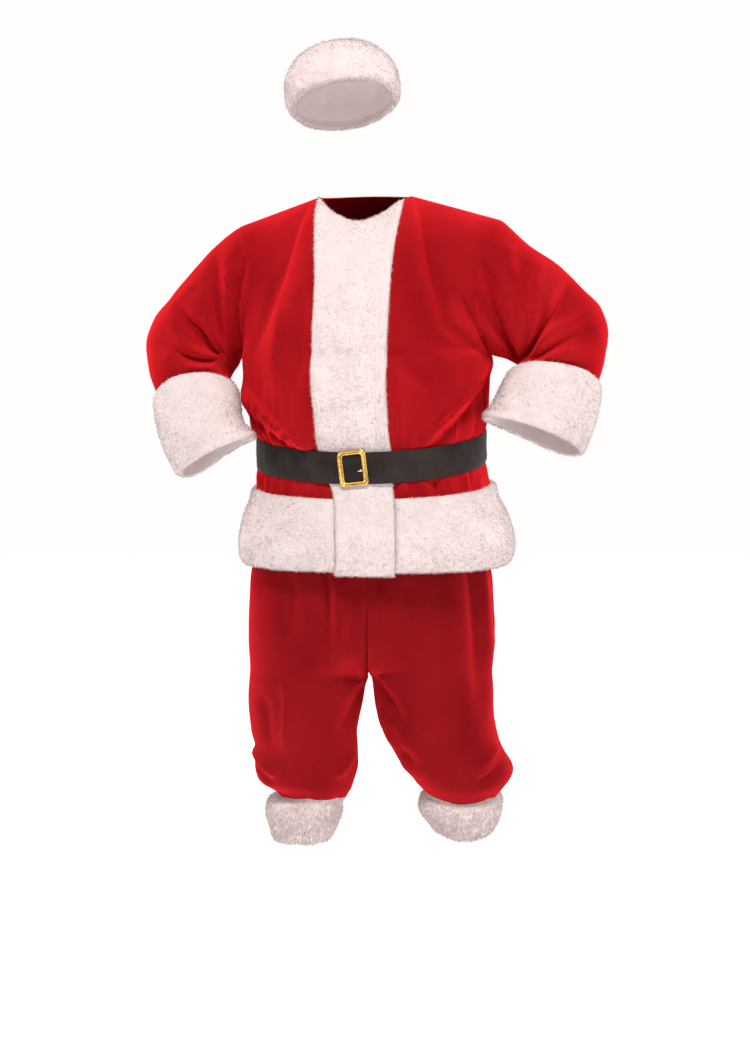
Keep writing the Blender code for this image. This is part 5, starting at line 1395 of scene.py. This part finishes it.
def vinyl():
    """Black imitation leather: a satin face with a fine pebble grain."""
    made, nodes, links, shader = new_material("black_vinyl_grain")
    wear = noise_node(nodes, links, 25.0, 5.0)
    colours = ramp_node(nodes, links, wear, ((0.30, (0.010, 0.006, 0.005)), (0.70, (0.022, 0.014, 0.012))))
    links.new(colours.outputs["Color"], shader.inputs["Base Color"])
    rough = range_node(nodes, links, wear, 0.42, 0.60)
    links.new(rough.outputs["Result"], shader.inputs["Roughness"])
    soft = bump_node(nodes, links, noise_node(nodes, links, 90.0, 3.0), 0.20, 0.0010)
    pebbles = bump_node(nodes, links, noise_node(nodes, links, 1100.0, 2.0), 0.25, 0.0003, soft)
    links.new(pebbles.outputs["Normal"], shader.inputs["Normal"])
    set_sockets(shader, specular_ior_level=0.20)
    return made


def metal(name, dark, light, low, high):
    """Polished metal with faint wear."""
    made, nodes, links, shader = new_material(name)
    wear = noise_node(nodes, links, 160.0, 4.0)
    colours = ramp_node(nodes, links, wear, ((0.35, dark), (0.65, light)))
    links.new(colours.outputs["Color"], shader.inputs["Base Color"])
    rough = range_node(nodes, links, wear, low, high)
    links.new(rough.outputs["Result"], shader.inputs["Roughness"])
    scratches = bump_node(nodes, links, noise_node(nodes, links, 500.0, 2.0), 0.08, 0.0002)
    links.new(scratches.outputs["Normal"], shader.inputs["Normal"])
    set_sockets(shader, metallic=1.0)
    return made


def make_floor():
    """A plain pale floor at the ground under the wearer."""
    made, nodes, links, shader = new_material("pale_floor")
    set_sockets(shader, base_color=(0.90, 0.90, 0.90, 1.0), roughness=1.0, specular_ior_level=0.0,
                emission_color=(1.0, 1.0, 1.0, 1.0), emission_strength=0.85)
    points = np.array([(x, y, 0.0) for x, y in ((-9, -9), (9, -9), (9, 9), (-9, 9))])
    floor = mesh_object("floor", points, [np.array([[0, 1, 2, 3]])], made)


def area_light(name, x, y, z, size, watts):
    """A soft square light, aimed at the middle of the suit."""
    light = bpy.data.lights.new(name, "AREA")
    light.shape = "SQUARE"
    light.size = size
    light.energy = watts
    holder = bpy.data.objects.new(name, light)
    way = unit(np.array((0.0, 0.0, SUIT_MIDDLE)) - (x, y, z))
    holder.location = (x, y, z)
    holder.rotation_euler = (math.acos(-way[2]), 0.0, math.atan2(way[1], way[0]) - math.pi / 2)
    bpy.context.collection.objects.link(holder)


def make_studio():
    """Even studio light on white, and the camera at the photograph's place."""
    scene = bpy.context.scene
    world = bpy.data.worlds.new("studio")
    scene.world = world
    world.use_nodes = True
    nodes, links = world.node_tree.nodes, world.node_tree.links
    sky = nodes["Background"]
    sky.inputs["Color"].default_value = (1.0, 0.99, 0.985, 1.0)
    strength = nodes.new("ShaderNodeMapRange")
    strength.inputs["To Min"].default_value = AMBIENT
    strength.inputs["To Max"].default_value = BACKDROP
    links.new(nodes.new("ShaderNodeLightPath").outputs["Is Camera Ray"], strength.inputs["Value"])
    links.new(strength.outputs["Result"], sky.inputs["Strength"])
    for light in LIGHTS:
        area_light(*light)
    scene.view_settings.view_transform = "Standard"
    camera = bpy.data.cameras.new("camera")
    drop = math.atan2(AIM_HEIGHT - CAMERA[2], -CAMERA[1])
    focal_pixels = math.hypot(CAMERA[1], CAMERA[2] - AIM_HEIGHT) / METRES_PER_PIXEL
    camera.sensor_width = 36.0
    camera.lens = camera.sensor_width * focal_pixels / PHOTO_HEIGHT
    holder = bpy.data.objects.new("camera", camera)
    holder.location = CAMERA
    holder.rotation_euler = (math.pi / 2 + drop, 0.0, 0.0)
    bpy.context.collection.objects.link(holder)
    scene.camera = holder


def make_suit():
    """Every piece, each with its material."""
    red = velvet("red_velvet_nap", (0.55, 0.010, 0.015), (0.68, 0.015, 0.021), (0.82, 0.022, 0.030), 0.50)
    dark_red = velvet("red_velvet_trousers_nap", (0.40, 0.010, 0.015), (0.48, 0.014, 0.019),
                      (0.56, 0.018, 0.024), 0.58)
    white = (plush_finish("white_plush_backing", False), plush_finish("white_plush_hair", True))
    black = vinyl()
    gold = metal("gold_polish", (0.72, 0.42, 0.09), (0.88, 0.60, 0.18), 0.16, 0.30)
    steel = metal("pale_gold_polish", (0.62, 0.56, 0.42), (0.80, 0.74, 0.58), 0.18, 0.32)
    make_belt(black)
    make_buckle(gold, steel)
    made = {**make_jacket(red), **make_sleeves(red), **make_bands(white), **make_cuffs(white),
            **make_trousers(dark_red), **make_waistband(dark_red), **make_leg_cuffs(white),
            **make_hat(white, red)}


make_floor()
make_studio()
make_suit()
